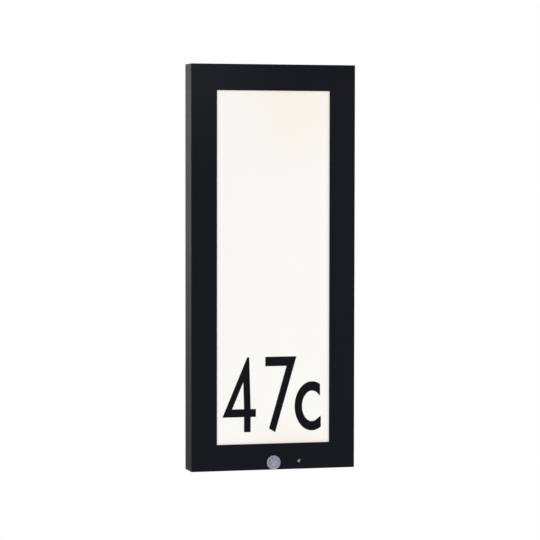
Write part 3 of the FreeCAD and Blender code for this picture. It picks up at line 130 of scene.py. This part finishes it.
def addBump(tree, shader, height, finish):
    inputs = {"Height": height, "Strength": finish["bump"], "Distance": finish["bumpDepth"]}
    setInputs(tree, shader, {"Normal": addNode(tree, "Bump", inputs).outputs["Normal"]})


# effects that several materials share

def newGrainGroup(name, sizes):
    inputs = [("Color", "Color", (0.5, 0.5, 0.5, 1)), ("Color Spread", "Float", 0.1),
              ("Roughness", "Float", 0.5), ("Roughness Spread", "Float", 0.1)]
    inputs += [(size, "Float", value) for size, value in sizes.items()]
    return newGroup(name, inputs, [("Color", "Color"), ("Roughness", "Float"), ("Height", "Float")])


def endGrainGroup(group, start, end, pattern, height):
    # lighter and duller where the pattern is over a half, and darker and glossier where it is under
    offset = maths(group, "SUBTRACT", pattern, 0.5)
    value = maths(group, "ADD", 1.0, maths(group, "MULTIPLY", offset, start["Color Spread"]))
    colour = addNode(group, "HueSaturation", {"Color": start["Color"], "Value": value}).outputs["Color"]
    roughOffset = maths(group, "MULTIPLY", offset, start["Roughness Spread"])
    rough = maths(group, "ADD", start["Roughness"], roughOffset)
    setInputs(group, end, {"Color": colour, "Roughness": rough, "Height": height})
    return group


def makeFineGrain():
    # an even grain, and broad patches that are a little lighter or duller
    group, start, end = newGrainGroup("fineGrain", {"Grain Size": 0.0005, "Patch Size": 0.05})
    grainScale = maths(group, "DIVIDE", 1.0, start["Grain Size"])
    patchScale = maths(group, "DIVIDE", 1.0, start["Patch Size"])
    grain = noise(group, place(group), grainScale, detail=2.0)
    patch = noise(group, place(group), patchScale, detail=3.0)
    return endGrainGroup(group, start, end, patch, grain)


def makeRolledGrain():
    # fine streaks along the sheet's rolling direction, which is up and down
    group, start, end = newGrainGroup("rolledGrain", {"Streak Width": 0.0006, "Streak Length": 0.04})
    across = maths(group, "DIVIDE", 1.0, start["Streak Width"])
    along = maths(group, "DIVIDE", 1.0, start["Streak Length"])
    scale = addNode(group, "CombineXYZ", {"X": across, "Y": across, "Z": along}).outputs["Vector"]
    streak = noise(group, vectorMaths(group, "MULTIPLY", place(group), scale), 1.0, detail=4.0)
    return endGrainGroup(group, start, end, streak, streak)


dustSpread = {"facingFrom": 0.2, "patchFrom": 0.35, "patchTo": 0.7}


def makeDustFilm():
    # a thin film of dust on what faces up, broken up by noise
    group, start, end = newGroup(
        "dustFilm",
        [("Color", "Color", (0.5, 0.5, 0.5, 1)), ("Dust Color", "Color", (0.3, 0.29, 0.27, 1)),
         ("Amount", "Float", 0.1), ("Patch Size", "Float", 0.02)],
        [("Color", "Color"), ("Mask", "Float")],
    )
    facing = remap(group, axesOf(group, surfaceNormal(group))["Z"], dustSpread["facingFrom"], 1.0)
    patch = noise(group, place(group), maths(group, "DIVIDE", 1.0, start["Patch Size"]), detail=6.0)
    spread = remap(group, patch, dustSpread["patchFrom"], dustSpread["patchTo"])
    mask = maths(group, "MULTIPLY", maths(group, "MULTIPLY", facing, spread), start["Amount"])
    colour = mixColours(group, mask, start["Color"], start["Dust Color"])
    setInputs(group, end, {"Color": colour, "Mask": mask})
    return group


fineGrain = makeFineGrain()
rolledGrain = makeRolledGrain()
dustFilm = makeDustFilm()
grainSockets = {
    "Color": "colour", "Color Spread": "colourSpread", "Roughness": "roughness",
    "Roughness Spread": "roughSpread", "Grain Size": "grainSize", "Patch Size": "patchSize",
}


def placeGrain(tree, finish, colour=None):
    # the fine grain with a finish's own values, over its colour or over one that is worked out
    inputs = {socket: finish[key] for socket, key in grainSockets.items() if key in finish}
    if colour is not None:
        inputs["Color"] = colour
    return placeGroup(tree, fineGrain, inputs)


print("shared effects made")


# frame: satin powder coat, lighter along its outer edges as a painted edge highlight, and with a painted
# reflection round its upper left corner

paint = {
    "colour": (0.0069, 0.0074, 0.0112, 1), "colourSpread": 0.25, "roughness": 0.56, "roughSpread": 0.06,
    "specular": 0.05, "grainSize": 0.0007, "patchSize": 0.09, "bump": 0.5, "bumpDepth": 0.00002,
    # painted edge highlight: the colour and width of the paler band along the edges
    "edgeHighlightColour": (0.016, 0.017, 0.021, 1), "edgeWidth": 0.0007,
    # painted reflection round one corner: its colour and how far it reaches
    "paintedHighlight": (0.014, 0.0146, 0.0186, 1), "paintedHighlightReach": 0.16,
    "dustColour": (0.2, 0.19, 0.175, 1), "dust": 0.05, "dustSize": 0.015,
}


def edgeMask(tree, node, width):
    # 1 on the box's edges, where two of its faces meet
    low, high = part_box(node)
    fromCentre = vectorMaths(tree, "SUBTRACT", place(tree), (low + high) / 2)
    inside = vectorMaths(tree, "SUBTRACT", (high - low) / 2, vectorMaths(tree, "ABSOLUTE", fromCentre))
    depths = axesOf(tree, inside)
    near = [remap(tree, depths[axis], width, 0.0) for axis in "XYZ"]
    pairs = [maths(tree, "MULTIPLY", near[i], near[j]) for i, j in ((0, 1), (0, 2), (1, 2))]
    return maths(tree, "MAXIMUM", pairs[0], maths(tree, "MAXIMUM", pairs[1], pairs[2]))


def makePaint():
    material, tree, shader = newMaterial("anthracitePowderCoat", {"Specular IOR Level": paint["specular"]})
    grain = placeGrain(tree, paint)
    # painted reflection: the colour turns paler round the frame's upper left front corner
    low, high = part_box("front_frame")
    fromCorner = vectorMaths(tree, "DISTANCE", place(tree), Vector((low.x, low.y, high.z)))
    paintedHighlight = remap(tree, fromCorner, paint["paintedHighlightReach"], 0.0, curve="SMOOTHSTEP")
    withPaintedHighlight = mixColours(tree, paintedHighlight, grain["Color"], paint["paintedHighlight"])
    # painted highlight: the colour turns paler along the frame's outer edges
    edge = edgeMask(tree, "front_frame", paint["edgeWidth"])
    withEdgeHighlight = mixColours(tree, edge, withPaintedHighlight, paint["edgeHighlightColour"])
    dusty = placeGroup(tree, dustFilm, {
        "Color": withEdgeHighlight, "Dust Color": paint["dustColour"], "Amount": paint["dust"],
        "Patch Size": paint["dustSize"],
    })
    rough = maths(tree, "ADD", grain["Roughness"], dusty["Mask"])
    setInputs(tree, shader, {"Base Color": dusty["Color"], "Roughness": rough})
    addBump(tree, shader, grain["Height"], paint)
    return material


# lit panel: opal acrylic, a touch warmer near its upper and lower ends

panel = {
    "colour": (0.46, 0.455, 0.44, 1), "colourSpread": 0.02, "roughness": 0.38, "roughSpread": 0.06,
    "specular": 0.3, "grainSize": 0.0003, "patchSize": 0.06, "bump": 0.3, "bumpDepth": 0.00001,
    "glow": (0.555, 0.547, 0.53, 1), "glowStrength": 1.0, "warmGlow": (0.55, 0.503, 0.42, 1),
    "warmTop": 0.135, "warmFoot": 0.05, "warmMiddle": 0.025, "warmAside": 0.095,
    "cloudScale": 14.0, "cloudFrom": 0.1, "cloudTo": 0.5,
}


def makeLitPanel():
    material, tree, shader = newMaterial("litOpalAcrylic", {
        "Specular IOR Level": panel["specular"], "Emission Strength": panel["glowStrength"],
    })
    low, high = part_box("diffuser_panel")
    axes = axesOf(tree, place(tree))
    fromTop = remap(tree, axes["Z"], high.z - panel["warmTop"], high.z)
    fromFoot = remap(tree, axes["Z"], low.z + panel["warmFoot"], low.z)
    ends = maths(tree, "MAXIMUM", fromTop, fromFoot)
    aside = maths(tree, "ABSOLUTE", maths(tree, "SUBTRACT", axes["X"], panel["warmMiddle"]))
    middle = remap(tree, aside, panel["warmAside"], 0.0, curve="SMOOTHSTEP")
    cloud = noise(tree, place(tree), panel["cloudScale"], detail=2.0)
    cloudy = remap(tree, cloud, panel["cloudFrom"], panel["cloudTo"])
    warmth = maths(tree, "MULTIPLY", maths(tree, "MULTIPLY", ends, middle), cloudy)
    grain = placeGrain(tree, panel)
    setInputs(tree, shader, {
        "Base Color": grain["Color"], "Roughness": grain["Roughness"],
        "Emission Color": mixColours(tree, warmth, panel["glow"], panel["warmGlow"]),
    })
    addBump(tree, shader, grain["Height"], panel)
    return material


# plain moulded materials, and turned or plated metals with a finer grain

mouldings = {
    "black_film": {"colour": (0.0028, 0.0029, 0.0048, 1), "roughness": 0.62, "specular": 0.08},
    "white_film": {"colour": (0.8, 0.8, 0.78, 1), "roughness": 0.6},
    "black_foam": {"colour": (0.02, 0.02, 0.02, 1), "roughness": 0.9, "grainSize": 0.0006,
                   "bumpDepth": 0.0001},
    "black_rubber": {"colour": (0.022, 0.022, 0.023, 1), "roughness": 0.62, "bumpDepth": 0.00003},
    "black_plastic": {"colour": (0.02, 0.02, 0.022, 1), "roughness": 0.5, "grainSize": 0.0005,
                      "bumpDepth": 0.00004},
    "white_plastic": {"colour": (0.72, 0.71, 0.67, 1), "roughness": 0.42, "grainSize": 0.0006,
                      "bumpDepth": 0.00002},
    "blue_plastic": {"colour": (0.02, 0.1, 0.42, 1), "roughness": 0.35},
    "ferrite": {"colour": (0.03, 0.028, 0.027, 1), "roughness": 0.55, "grainSize": 0.0003,
                "bumpDepth": 0.00004},
    "capacitor_sleeve": {"colour": (0.012, 0.014, 0.02, 1), "roughness": 0.3, "grainSize": 0.001},
    "brown_lead": {"colour": (0.16, 0.06, 0.022, 1), "roughness": 0.42, "grainSize": 0.001},
    "blue_lead": {"colour": (0.012, 0.08, 0.42, 1), "roughness": 0.42, "grainSize": 0.001},
    "white_lead": {"colour": (0.68, 0.68, 0.65, 1), "roughness": 0.42, "grainSize": 0.001},
    "grey_lead": {"colour": (0.16, 0.165, 0.17, 1), "roughness": 0.45, "grainSize": 0.001},
    "white_board": {"colour": (0.78, 0.78, 0.76, 1), "roughness": 0.35, "grainSize": 0.0008},
    "dark_filter": {"colour": (0.012, 0.007, 0.007, 1), "roughness": 0.12, "grainSize": 0.001,
                    "bumpDepth": 0.000002},
    "pale_resin": {"colour": (0.42, 0.42, 0.44, 1), "roughness": 0.4, "grainSize": 0.0005,
                   "bumpDepth": 0.000005},
}
everyMoulding = {
    "metallic": 0.0, "specular": 0.5, "colourSpread": 0.2, "roughSpread": 0.1, "grainSize": 0.0004,
    "patchSize": 0.02, "bump": 0.6, "bumpDepth": 0.00001,
}
platings = {
    "stainless_screw": {"colour": (0.56, 0.55, 0.53, 1), "roughness": 0.24},
    "black_screw": {"colour": (0.022, 0.022, 0.024, 1), "roughness": 0.42, "metallic": 0.4},
    "brass": {"colour": (0.6, 0.42, 0.16, 1), "roughness": 0.3},
    "tinned_copper": {"colour": (0.6, 0.59, 0.57, 1), "roughness": 0.3},
    "nickel_can": {"colour": (0.58, 0.55, 0.5, 1), "roughness": 0.2},
}
everyPlating = {
    "metallic": 1.0, "specular": 0.5, "colourSpread": 0.15, "roughSpread": 0.12, "grainSize": 0.0003,
    "patchSize": 0.004, "bump": 0.4, "bumpDepth": 0.00001,
}


def makePlain(name, finish):
    material, tree, shader = newMaterial(name, {
        "Metallic": finish["metallic"], "Specular IOR Level": finish["specular"],
    })
    grain = placeGrain(tree, finish)
    setInputs(tree, shader, {"Base Color": grain["Color"], "Roughness": grain["Roughness"]})
    addBump(tree, shader, grain["Height"], finish)
    return material


# back cover, tray and rivets: bare aluminium with rolling streaks

aluminium = {
    "colour": (0.43, 0.44, 0.45, 1), "colourSpread": 0.22, "roughness": 0.44, "roughSpread": 0.2,
    "streakWidth": 0.0007, "streakLength": 0.05, "bump": 0.4, "bumpDepth": 0.00002,
    "dust": 0.04, "dustSize": 0.02,
}


def makeAluminium():
    material, tree, shader = newMaterial("aluminium_sheet", {"Metallic": 1.0})
    grain = placeGroup(tree, rolledGrain, {
        "Color": aluminium["colour"], "Color Spread": aluminium["colourSpread"],
        "Roughness": aluminium["roughness"], "Roughness Spread": aluminium["roughSpread"],
        "Streak Width": aluminium["streakWidth"], "Streak Length": aluminium["streakLength"],
    })
    dusty = placeGroup(tree, dustFilm, {
        "Color": grain["Color"], "Amount": aluminium["dust"], "Patch Size": aluminium["dustSize"],
    })
    setInputs(tree, shader, {"Base Color": dusty["Color"], "Roughness": grain["Roughness"]})
    addBump(tree, shader, grain["Height"], aluminium)
    return material


# bracket and hanger: hot-dip galvanised steel, with zinc crystals

zinc = {
    "light": (0.50, 0.52, 0.54, 1), "dark": (0.36, 0.38, 0.40, 1), "crystal": 0.008, "edgeWave": 90.0,
    "edgeReach": 0.004, "colourSpread": 0.25, "roughness": 0.42, "roughSpread": 0.2, "lightRough": 0.12,
    "grainSize": 0.0008, "patchSize": 0.03, "bump": 0.4, "bumpDepth": 0.00003, "dust": 0.1, "dustSize": 0.01,
}


def makeGalvanised():
    material, tree, shader = newMaterial("galvanisedSteel", {"Metallic": 1.0})
    # the crystals' edges wander a little
    wave = addNode(tree, "TexNoise", {"Vector": place(tree), "Scale": zinc["edgeWave"], "Detail": 2.0})
    shift = vectorMaths(tree, "MULTIPLY", wave.outputs["Color"], (zinc["edgeReach"],) * 3)
    moved = vectorMaths(tree, "ADD", place(tree), shift)
    cells = addNode(tree, "TexVoronoi", {"Vector": moved, "Scale": 1 / zinc["crystal"]}).outputs["Color"]
    tone = addNode(tree, "SeparateColor", {"Color": cells}).outputs["Red"]
    grain = placeGrain(tree, zinc, mixColours(tree, tone, zinc["dark"], zinc["light"]))
    dusty = placeGroup(tree, dustFilm, {
        "Color": grain["Color"], "Amount": zinc["dust"], "Patch Size": zinc["dustSize"],
    })
    rough = maths(tree, "ADD", grain["Roughness"], maths(tree, "MULTIPLY", tone, zinc["lightRough"]))
    setInputs(tree, shader, {"Base Color": dusty["Color"], "Roughness": rough})
    addBump(tree, shader, grain["Height"], zinc)
    return material


# clear pieces: the light guide and the dusk sensor's window

clears = {
    "clear_acrylic": {"colour": (0.94, 0.97, 0.97, 1), "roughness": 0.06, "ior": 1.49, "specular": 0.5},
    "clear_window": {"colour": (0.9, 0.9, 0.92, 1), "roughness": 0.05, "ior": 1.5, "specular": 0.3},
}
everyClear = {"roughSpread": 0.04, "grainSize": 0.002, "patchSize": 0.01}


def makeClear(name):
    finish = {**everyClear, **clears[name]}
    material, tree, shader = newMaterial(name, {
        "IOR": finish["ior"], "Transmission Weight": 1.0, "Base Color": finish["colour"],
        "Specular IOR Level": finish["specular"],
    })
    setInputs(tree, shader, {"Roughness": placeGrain(tree, finish)["Roughness"]})
    return material


# circuit boards, light chips and the striped earth lead

board = {
    "mask": (0.012, 0.1, 0.035, 1), "track": (0.03, 0.2, 0.08, 1), "trackSize": 0.0025, "trackFrom": 0.35,
    "trackTo": 0.45, "roughness": 0.35, "bump": 0.5, "bumpDepth": 0.00003,
}
phosphor = {
    "colour": (0.82, 0.6, 0.12, 1), "colourSpread": 0.1, "roughness": 0.5, "grainSize": 0.0001,
    "patchSize": 0.001, "glow": (1.0, 0.9, 0.7, 1), "glowStrength": 1.5,
}
earthStripes = {
    "green": (0.03, 0.22, 0.03, 1), "yellow": (0.75, 0.6, 0.03, 1), "yellowFrom": 0.1, "yellowTo": 0.2,
    "roughness": 0.42,
}


def makeBoard():
    material, tree, shader = newMaterial("circuitBoard", {"Roughness": board["roughness"]})
    cells = addNode(tree, "TexVoronoi", {"Vector": place(tree), "Scale": 1 / board["trackSize"]},
                    distance="MANHATTAN").outputs["Distance"]
    track = remap(tree, cells, board["trackFrom"], board["trackTo"])
    setInputs(tree, shader, {"Base Color": mixColours(tree, track, board["mask"], board["track"])})
    addBump(tree, shader, track, board)
    return material


def makePhosphor():
    material, tree, shader = newMaterial("lightChip", {
        "Roughness": phosphor["roughness"], "Emission Color": phosphor["glow"],
        "Emission Strength": phosphor["glowStrength"],
    })
    setInputs(tree, shader, {"Base Color": placeGrain(tree, phosphor)["Color"]})
    return material


def makeEarthLead():
    material, tree, shader = newMaterial("earthLead", {"Roughness": earthStripes["roughness"]})
    side = axesOf(tree, surfaceNormal(tree))["Y"]
    stripe = remap(tree, side, earthStripes["yellowFrom"], earthStripes["yellowTo"])
    colour = mixColours(tree, stripe, earthStripes["green"], earthStripes["yellow"])
    setInputs(tree, shader, {"Base Color": colour})
    return material


# detector lens: milky plastic, thinner and lighter round its rim, with painted shade down its grooves

milky = {
    "colour": (0.39, 0.415, 0.495, 1), "colourSpread": 0.15, "roughness": 0.34, "roughSpread": 0.1,
    "grainSize": 0.0002, "patchSize": 0.003, "rimColour": (0.44, 0.46, 0.54, 1), "rimStart": 0.0078,
    # the darker colour for the grooves on the next line is painted shade
    "rimBlend": 0.0006, "grooveShadeColour": (0.27, 0.285, 0.345, 1), "lightThrough": 0.25, "lightReach": 0.002,
}


def frontOf(node):
    # where the axis of a round piece meets the plane of its front
    low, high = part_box(node)
    return Vector(((low.x + high.x) / 2, low.y, (low.z + high.z) / 2))


def makeMilkyLens():
    material, tree, shader = newMaterial("milkyLens", {
        "Subsurface Weight": milky["lightThrough"], "Subsurface Radius": (milky["lightReach"],) * 3,
        "Subsurface Scale": 1.0,
    })
    acrossOnly = Vector((1, 0, 1))
    flat = vectorMaths(tree, "MULTIPLY", place(tree), acrossOnly)
    offset = vectorMaths(tree, "SUBTRACT", flat, frontOf("sensor_lens") * acrossOnly)
    distance = vectorMaths(tree, "LENGTH", offset)
    rim = remap(tree, distance, milky["rimStart"], milky["rimStart"] + milky["rimBlend"])
    # painted shade: the colour darkens down the grooves between the facets
    groove = addNode(tree, "Attribute", attribute_name="groove").outputs["Fac"]
    withGrooveShade = mixColours(tree, groove, milky["colour"], milky["grooveShadeColour"])
    grain = placeGrain(tree, milky, mixColours(tree, rim, withGrooveShade, milky["rimColour"]))
    setInputs(tree, shader, {"Base Color": grain["Color"], "Roughness": grain["Roughness"]})
    return material


makers = {
    "frame_paint": makePaint, "opal": makeLitPanel, "aluminium_sheet": makeAluminium,
    "galvanised_steel": makeGalvanised, "green_board": makeBoard, "led_phosphor": makePhosphor,
    "earth_lead": makeEarthLead, "milky_plastic": makeMilkyLens,
}


def makeFinish(slot):
    if slot in makers:
        return makers[slot]()
    if slot in clears:
        return makeClear(slot)
    if slot in platings:
        return makePlain(slot, {**everyPlating, **platings[slot]})
    return makePlain(slot, {**everyMoulding, **mouldings[slot]})


materials = {slot: makeFinish(slot) for slot in sorted(set(slotOf.values()))}
for name, piece in nodes.items():
    for entry in piece.material_slots:
        entry.material = materials[slotOf[name]]
for entry in nodes["dusk_chip"].material_slots:  # a light sensor's resin is paler than the heat filter's
    entry.material = makeFinish("pale_resin")
print("materials made,", len(materials), "finishes")


# turned pieces, such as the lens and the dusk window: their axis runs from front to back

sharpAngle = 40.0  # edges steeper than this stay crisp


def turnedMesh(name, axis, tip, rings, last, turns):
    # a closed skin through rings of (distance from the axis, depth, turn), between two points on the axis
    verts = [axis + Vector((0, tip, 0))]
    for ring in rings:
        for distance, depth, turn in ring:
            angle = math.radians(turn)
            verts.append(axis + Vector((distance * math.cos(angle), depth, distance * math.sin(angle))))
    verts.append(axis + Vector((0, last, 0)))
    faces = [(0, 1 + i, 1 + (i + 1) % turns) for i in range(turns)]
    for ring in range(len(rings) - 1):
        start = 1 + ring * turns
        for i in range(turns):
            after = (i + 1) % turns
            faces.append((start + i, start + turns + i, start + turns + after, start + after))
    start = 1 + (len(rings) - 1) * turns
    faces += [(start + i, len(verts) - 1, start + (i + 1) % turns) for i in range(turns)]
    mesh = bpy.data.meshes.new(name)
    mesh.from_pydata(verts, [], faces)
    mesh.update()
    for face in mesh.polygons:
        face.use_smooth = True
    mesh.set_sharp_from_angle(angle=math.radians(sharpAngle))
    return mesh


def evenTurns(count):
    return [360 * i / count for i in range(count)]


def levelRings(profile, turns):
    return [[(distance, depth, turn) for turn in turns] for distance, depth in profile]


def capPoint(radius, height, share):
    # (distance from the axis, depth behind the tip, slope) on a round cap
    sphere = (radius ** 2 + height ** 2) / (2 * height)
    angle = share * math.asin(radius / sphere)
    return sphere * math.sin(angle), sphere * (1 - math.cos(angle)), angle


def roundedEdge(radius, edge, depth, steps):
    # a quarter turn from a front face at that depth into a side wall at that radius
    points = []
    for step in range(1, steps + 1):
        turn = math.radians(90 * step / steps)
        points.append((radius - edge * (1 - math.sin(turn)), depth + edge * (1 - math.cos(turn))))
    return points


def addPiece(name, mesh, node, slot):
    piece = bpy.data.objects.new(name, mesh)
    bpy.context.scene.collection.objects.link(piece)
    mesh.materials.append(materials[slot])
    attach(piece, "sign")
    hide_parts(node)


# detector lens: petals round its middle and a ring of facets outside them, moulded as shallow pillows

lens = {
    "domeRadius": 0.0082, "domeHeight": 0.0064, "flangeRadius": 0.00925, "flangeDepth": 0.002,
    "flangeRound": 0.0006, "neckRadius": 0.0076, "wall": 0.0008, "endDepth": 0.0012,
    "hooks": (90.0, 210.0, 330.0), "hookReach": 0.0007, "hookSpread": 20.0,
    "petals": 4, "petalTurn": 0.0, "petalEnd": 0.461, "facets": 8, "facetTurn": 22.5, "facetEnd": 0.895,
    "grooveDepth": 0.0003, "pillowPower": 2.6,
    "turns": 144, "domeSteps": 44, "edgeSteps": 4, "innerSteps": 12,
}


def pillow(position):
    # 0 at both ends of a facet and 1 over its middle
    return 1 - abs(position) ** lens["pillowPower"]


def lensRelief(share, turn):
    # how proud the lens surface stands: 1 on a facet's crown, 0 in a groove
    if share < lens["petalEnd"]:
        along = 2 * share / lens["petalEnd"] - 1
        across = (turn - lens["petalTurn"]) / 360 * lens["petals"]
    elif share < lens["facetEnd"]:
        along = 2 * (share - lens["petalEnd"]) / (lens["facetEnd"] - lens["petalEnd"]) - 1
        across = (turn - lens["facetTurn"]) / 360 * lens["facets"]
    else:
        return 1.0
    return pillow(along) * pillow(2 * (across % 1) - 1)


def lensFront(turns):
    # the faceted dome's rings, and how far each of their points lies down a groove
    rings = []
    grooves = []
    for step in range(1, lens["domeSteps"] + 1):
        share = step / lens["domeSteps"]
        distance, depth, angle = capPoint(lens["domeRadius"], lens["domeHeight"], share)
        ring = []
        for turn in turns:
            relief = lensRelief(share, turn)
            sunk = lens["grooveDepth"] * (1 - relief)
            ring.append((distance - sunk * math.sin(angle), depth + sunk * math.cos(angle), turn))
            grooves.append(1 - relief)
        rings.append(ring)
    return rings, grooves


def lensBack(turns, end):
    # flange, neck, the three hooks on the neck's end, and the hollow inside
    rim = lens["domeHeight"]
    seat = rim + lens["flangeDepth"]
    neck = lens["neckRadius"]
    bore = neck - lens["wall"]
    hookStart = end - lens["endDepth"]
    outside = [(lens["flangeRadius"] - lens["flangeRound"], rim)]
    outside += roundedEdge(lens["flangeRadius"], lens["flangeRound"], rim, lens["edgeSteps"])
    outside += [(lens["flangeRadius"], seat), (neck, seat), (neck, hookStart)]
    hooks = []
    for turn in turns:
        hooked = any(abs(turn - hook) <= lens["hookSpread"] for hook in lens["hooks"])
        hooks.append((neck + (lens["hookReach"] if hooked else 0), hookStart, turn))
    inside = [(neck, end), (bore, end), (bore, rim)]
    for step in range(lens["innerSteps"] - 1, 0, -1):
        distance, depth = capPoint(bore, rim - lens["wall"], step / lens["innerSteps"])[:2]
        inside.append((distance, depth + lens["wall"]))
    return levelRings(outside, turns) + [hooks] + levelRings(inside, turns)


def buildLens():
    low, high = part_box("sensor_lens")
    axis = frontOf("sensor_lens")
    turns = evenTurns(lens["turns"])
    rings, grooves = lensFront(turns)
    rings += lensBack(turns, high.y - low.y)
    tip = lens["grooveDepth"]  # the petals' grooves meet there
    mesh = turnedMesh("facetedLens", axis, tip, rings, lens["wall"], len(turns))
    values = [1.0] + grooves + [0.0] * (len(mesh.vertices) - 1 - len(grooves))
    # the grooves' depth, which the lens material turns into painted shade
    mesh.attributes.new("groove", "FLOAT", "POINT").data.foreach_set("value", values)
    addPiece("faceted_lens", mesh, "sensor_lens", "milky_plastic")


buildLens()
print("lens built")


# dusk sensor's window: a low clear dome with a rounded edge, sunk in its hole

window = {
    "radius": 0.0022, "sink": 0.0003, "rise": 0.0004, "edge": 0.0002, "flange": 0.0012,
    "turns": 64, "domeSteps": 12, "edgeSteps": 4,
}


def buildWindow():
    low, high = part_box("dusk_window")
    end = high.y - low.y
    seat = end - window["flange"]
    flange = (high.x - low.x) / 2
    radius, edge, rise = window["radius"], window["edge"], window["rise"]
    profile = []
    for step in range(1, window["domeSteps"] + 1):
        distance, depth = capPoint(radius - edge, rise, step / window["domeSteps"])[:2]
        profile.append((distance, window["sink"] + depth))
    profile += roundedEdge(radius, edge, window["sink"] + rise, window["edgeSteps"])
    profile += [(radius, seat), (flange, seat), (flange, end)]
    rings = levelRings(profile, evenTurns(window["turns"]))
    mesh = turnedMesh("duskWindow", frontOf("dusk_window"), window["sink"], rings, end, window["turns"])
    addPiece("dusk_dome", mesh, "dusk_window", "clear_window")


buildWindow()
print("dusk window built")


# camera at the photo's angle, lamps, floor and background

view = {
    "azimuth": -14.835, "elevation": 2.505, "roll": 0.0719, "distance": 3.24396, "aside": 0.00406,
    "above": -0.00457, "lens": 160.79, "sensorWidth": 36.0, "farEnd": 50.0,
}


def makeCamera():
    azimuth, elevation, roll = (math.radians(view[key]) for key in ("azimuth", "elevation", "roll"))
    back = Vector((math.sin(azimuth) * math.cos(elevation), -math.cos(azimuth) * math.cos(elevation),
                   math.sin(elevation)))
    level = Vector((math.cos(azimuth), math.sin(azimuth), 0))
    upright = back.cross(level)
    right = level * math.cos(roll) + upright * math.sin(roll)
    up = upright * math.cos(roll) - level * math.sin(roll)
    data = bpy.data.cameras.new("photoCamera")
    data.lens = view["lens"]
    data.sensor_width = view["sensorWidth"]
    data.clip_end = view["farEnd"]
    camera = bpy.data.objects.new("photoCamera", data)
    camera.rotation_euler = Matrix((right, up, back)).transposed().to_euler()
    camera.location = right * view["aside"] + up * view["above"] + back * view["distance"]
    bpy.context.scene.collection.objects.link(camera)
    bpy.context.scene.camera = camera


lamps = {
    "keyLamp": {"place": (-2.0, -2.2, 0.9), "size": 1.4, "power": 24.0},
    "fillLamp": {"place": (1.34, -1.5, 0.16), "size": 0.5, "power": 11.0},
    "bounceLamp": {"place": (-0.45, -1.1, -1.25), "size": 0.5, "power": 4.0},
    "rimLamp": {"place": (-0.45, 1.6, 0.3), "size": 1.0, "power": 5.2},
    "backLamp": {"place": (1.0, 2.2, 1.6), "size": 1.8, "power": 9.0},
}


def makeLamps():
    for name, lamp in lamps.items():
        data = bpy.data.lights.new(name, "AREA")
        data.shape = "DISK"
        data.size = lamp["size"]
        data.energy = lamp["power"]
        piece = bpy.data.objects.new(name, data)
        piece.location = lamp["place"]
        piece.rotation_euler = (-Vector(lamp["place"])).to_track_quat("-Z", "Y").to_euler()
        piece.visible_camera = False
        bpy.context.scene.collection.objects.link(piece)


background = {"colour": (1, 1, 1, 1), "white": 1.0, "ambient": 0.35}
floorSettings = {
    "colour": (0.75, 0.75, 0.75, 1), "roughness": 0.8, "height": -1.5, "reach": 20.0,
    "whiteNear": 2.0, "whiteFar": 6.5, "shareNear": 0.94, "shareFar": 1.0,
}


def seenRays(tree):
    # 1 where the camera, a reflection or clear plastic looks straight at the background
    path = addNode(tree, "LightPath").outputs
    mirrored = maths(tree, "MAXIMUM", path["Is Glossy Ray"], path["Is Transmission Ray"])
    return maths(tree, "MAXIMUM", path["Is Camera Ray"], mirrored)


def makeWorld():
    world = bpy.data.worlds.new("studio")
    world.use_nodes = True
    tree = world.node_tree
    strength = remap(tree, seenRays(tree), 0.0, 1.0, background["ambient"], background["white"])
    setInputs(tree, tree.nodes["Background"], {"Color": background["colour"], "Strength": strength})
    bpy.context.scene.world = world


def makeFloor():
    # one flat square, white far away and a little darker near the sign, so that its shadow shows
    reach, height = floorSettings["reach"], floorSettings["height"]
    corners = [(-reach, -reach, height), (reach, -reach, height),
               (reach, reach, height), (-reach, reach, height)]
    mesh = bpy.data.meshes.new("floor")
    mesh.from_pydata(corners, [], [(0, 1, 2, 3)])
    floor = bpy.data.objects.new("floor", mesh)
    bpy.context.scene.collection.objects.link(floor)
    material, tree, shader = newMaterial("paleFloor", {
        "Base Color": floorSettings["colour"], "Roughness": floorSettings["roughness"],
    })
    away = vectorMaths(tree, "LENGTH", place(tree))
    white = remap(tree, away, floorSettings["whiteNear"], floorSettings["whiteFar"],
                  floorSettings["shareNear"], floorSettings["shareFar"])
    share = maths(tree, "MULTIPLY", seenRays(tree), white)
    glow = addNode(tree, "Emission", {"Color": background["colour"], "Strength": background["white"]})
    lit = addNode(tree, "MixShader", {0: share, 1: shader.outputs[0], 2: glow.outputs[0]})
    # clear when it is looked at from below
    behind = addNode(tree, "NewGeometry").outputs["Backfacing"]
    clear = addNode(tree, "BsdfTransparent").outputs[0]
    oneSided = addNode(tree, "MixShader", {0: behind, 1: lit.outputs[0], 2: clear})
    setInputs(tree, tree.nodes["Material Output"], {"Surface": oneSided.outputs[0]})
    mesh.materials.append(material)


makeCamera()
makeLamps()
makeWorld()
makeFloor()
bpy.context.scene.view_settings.view_transform = "Standard"
print("camera, lamps and floor placed")
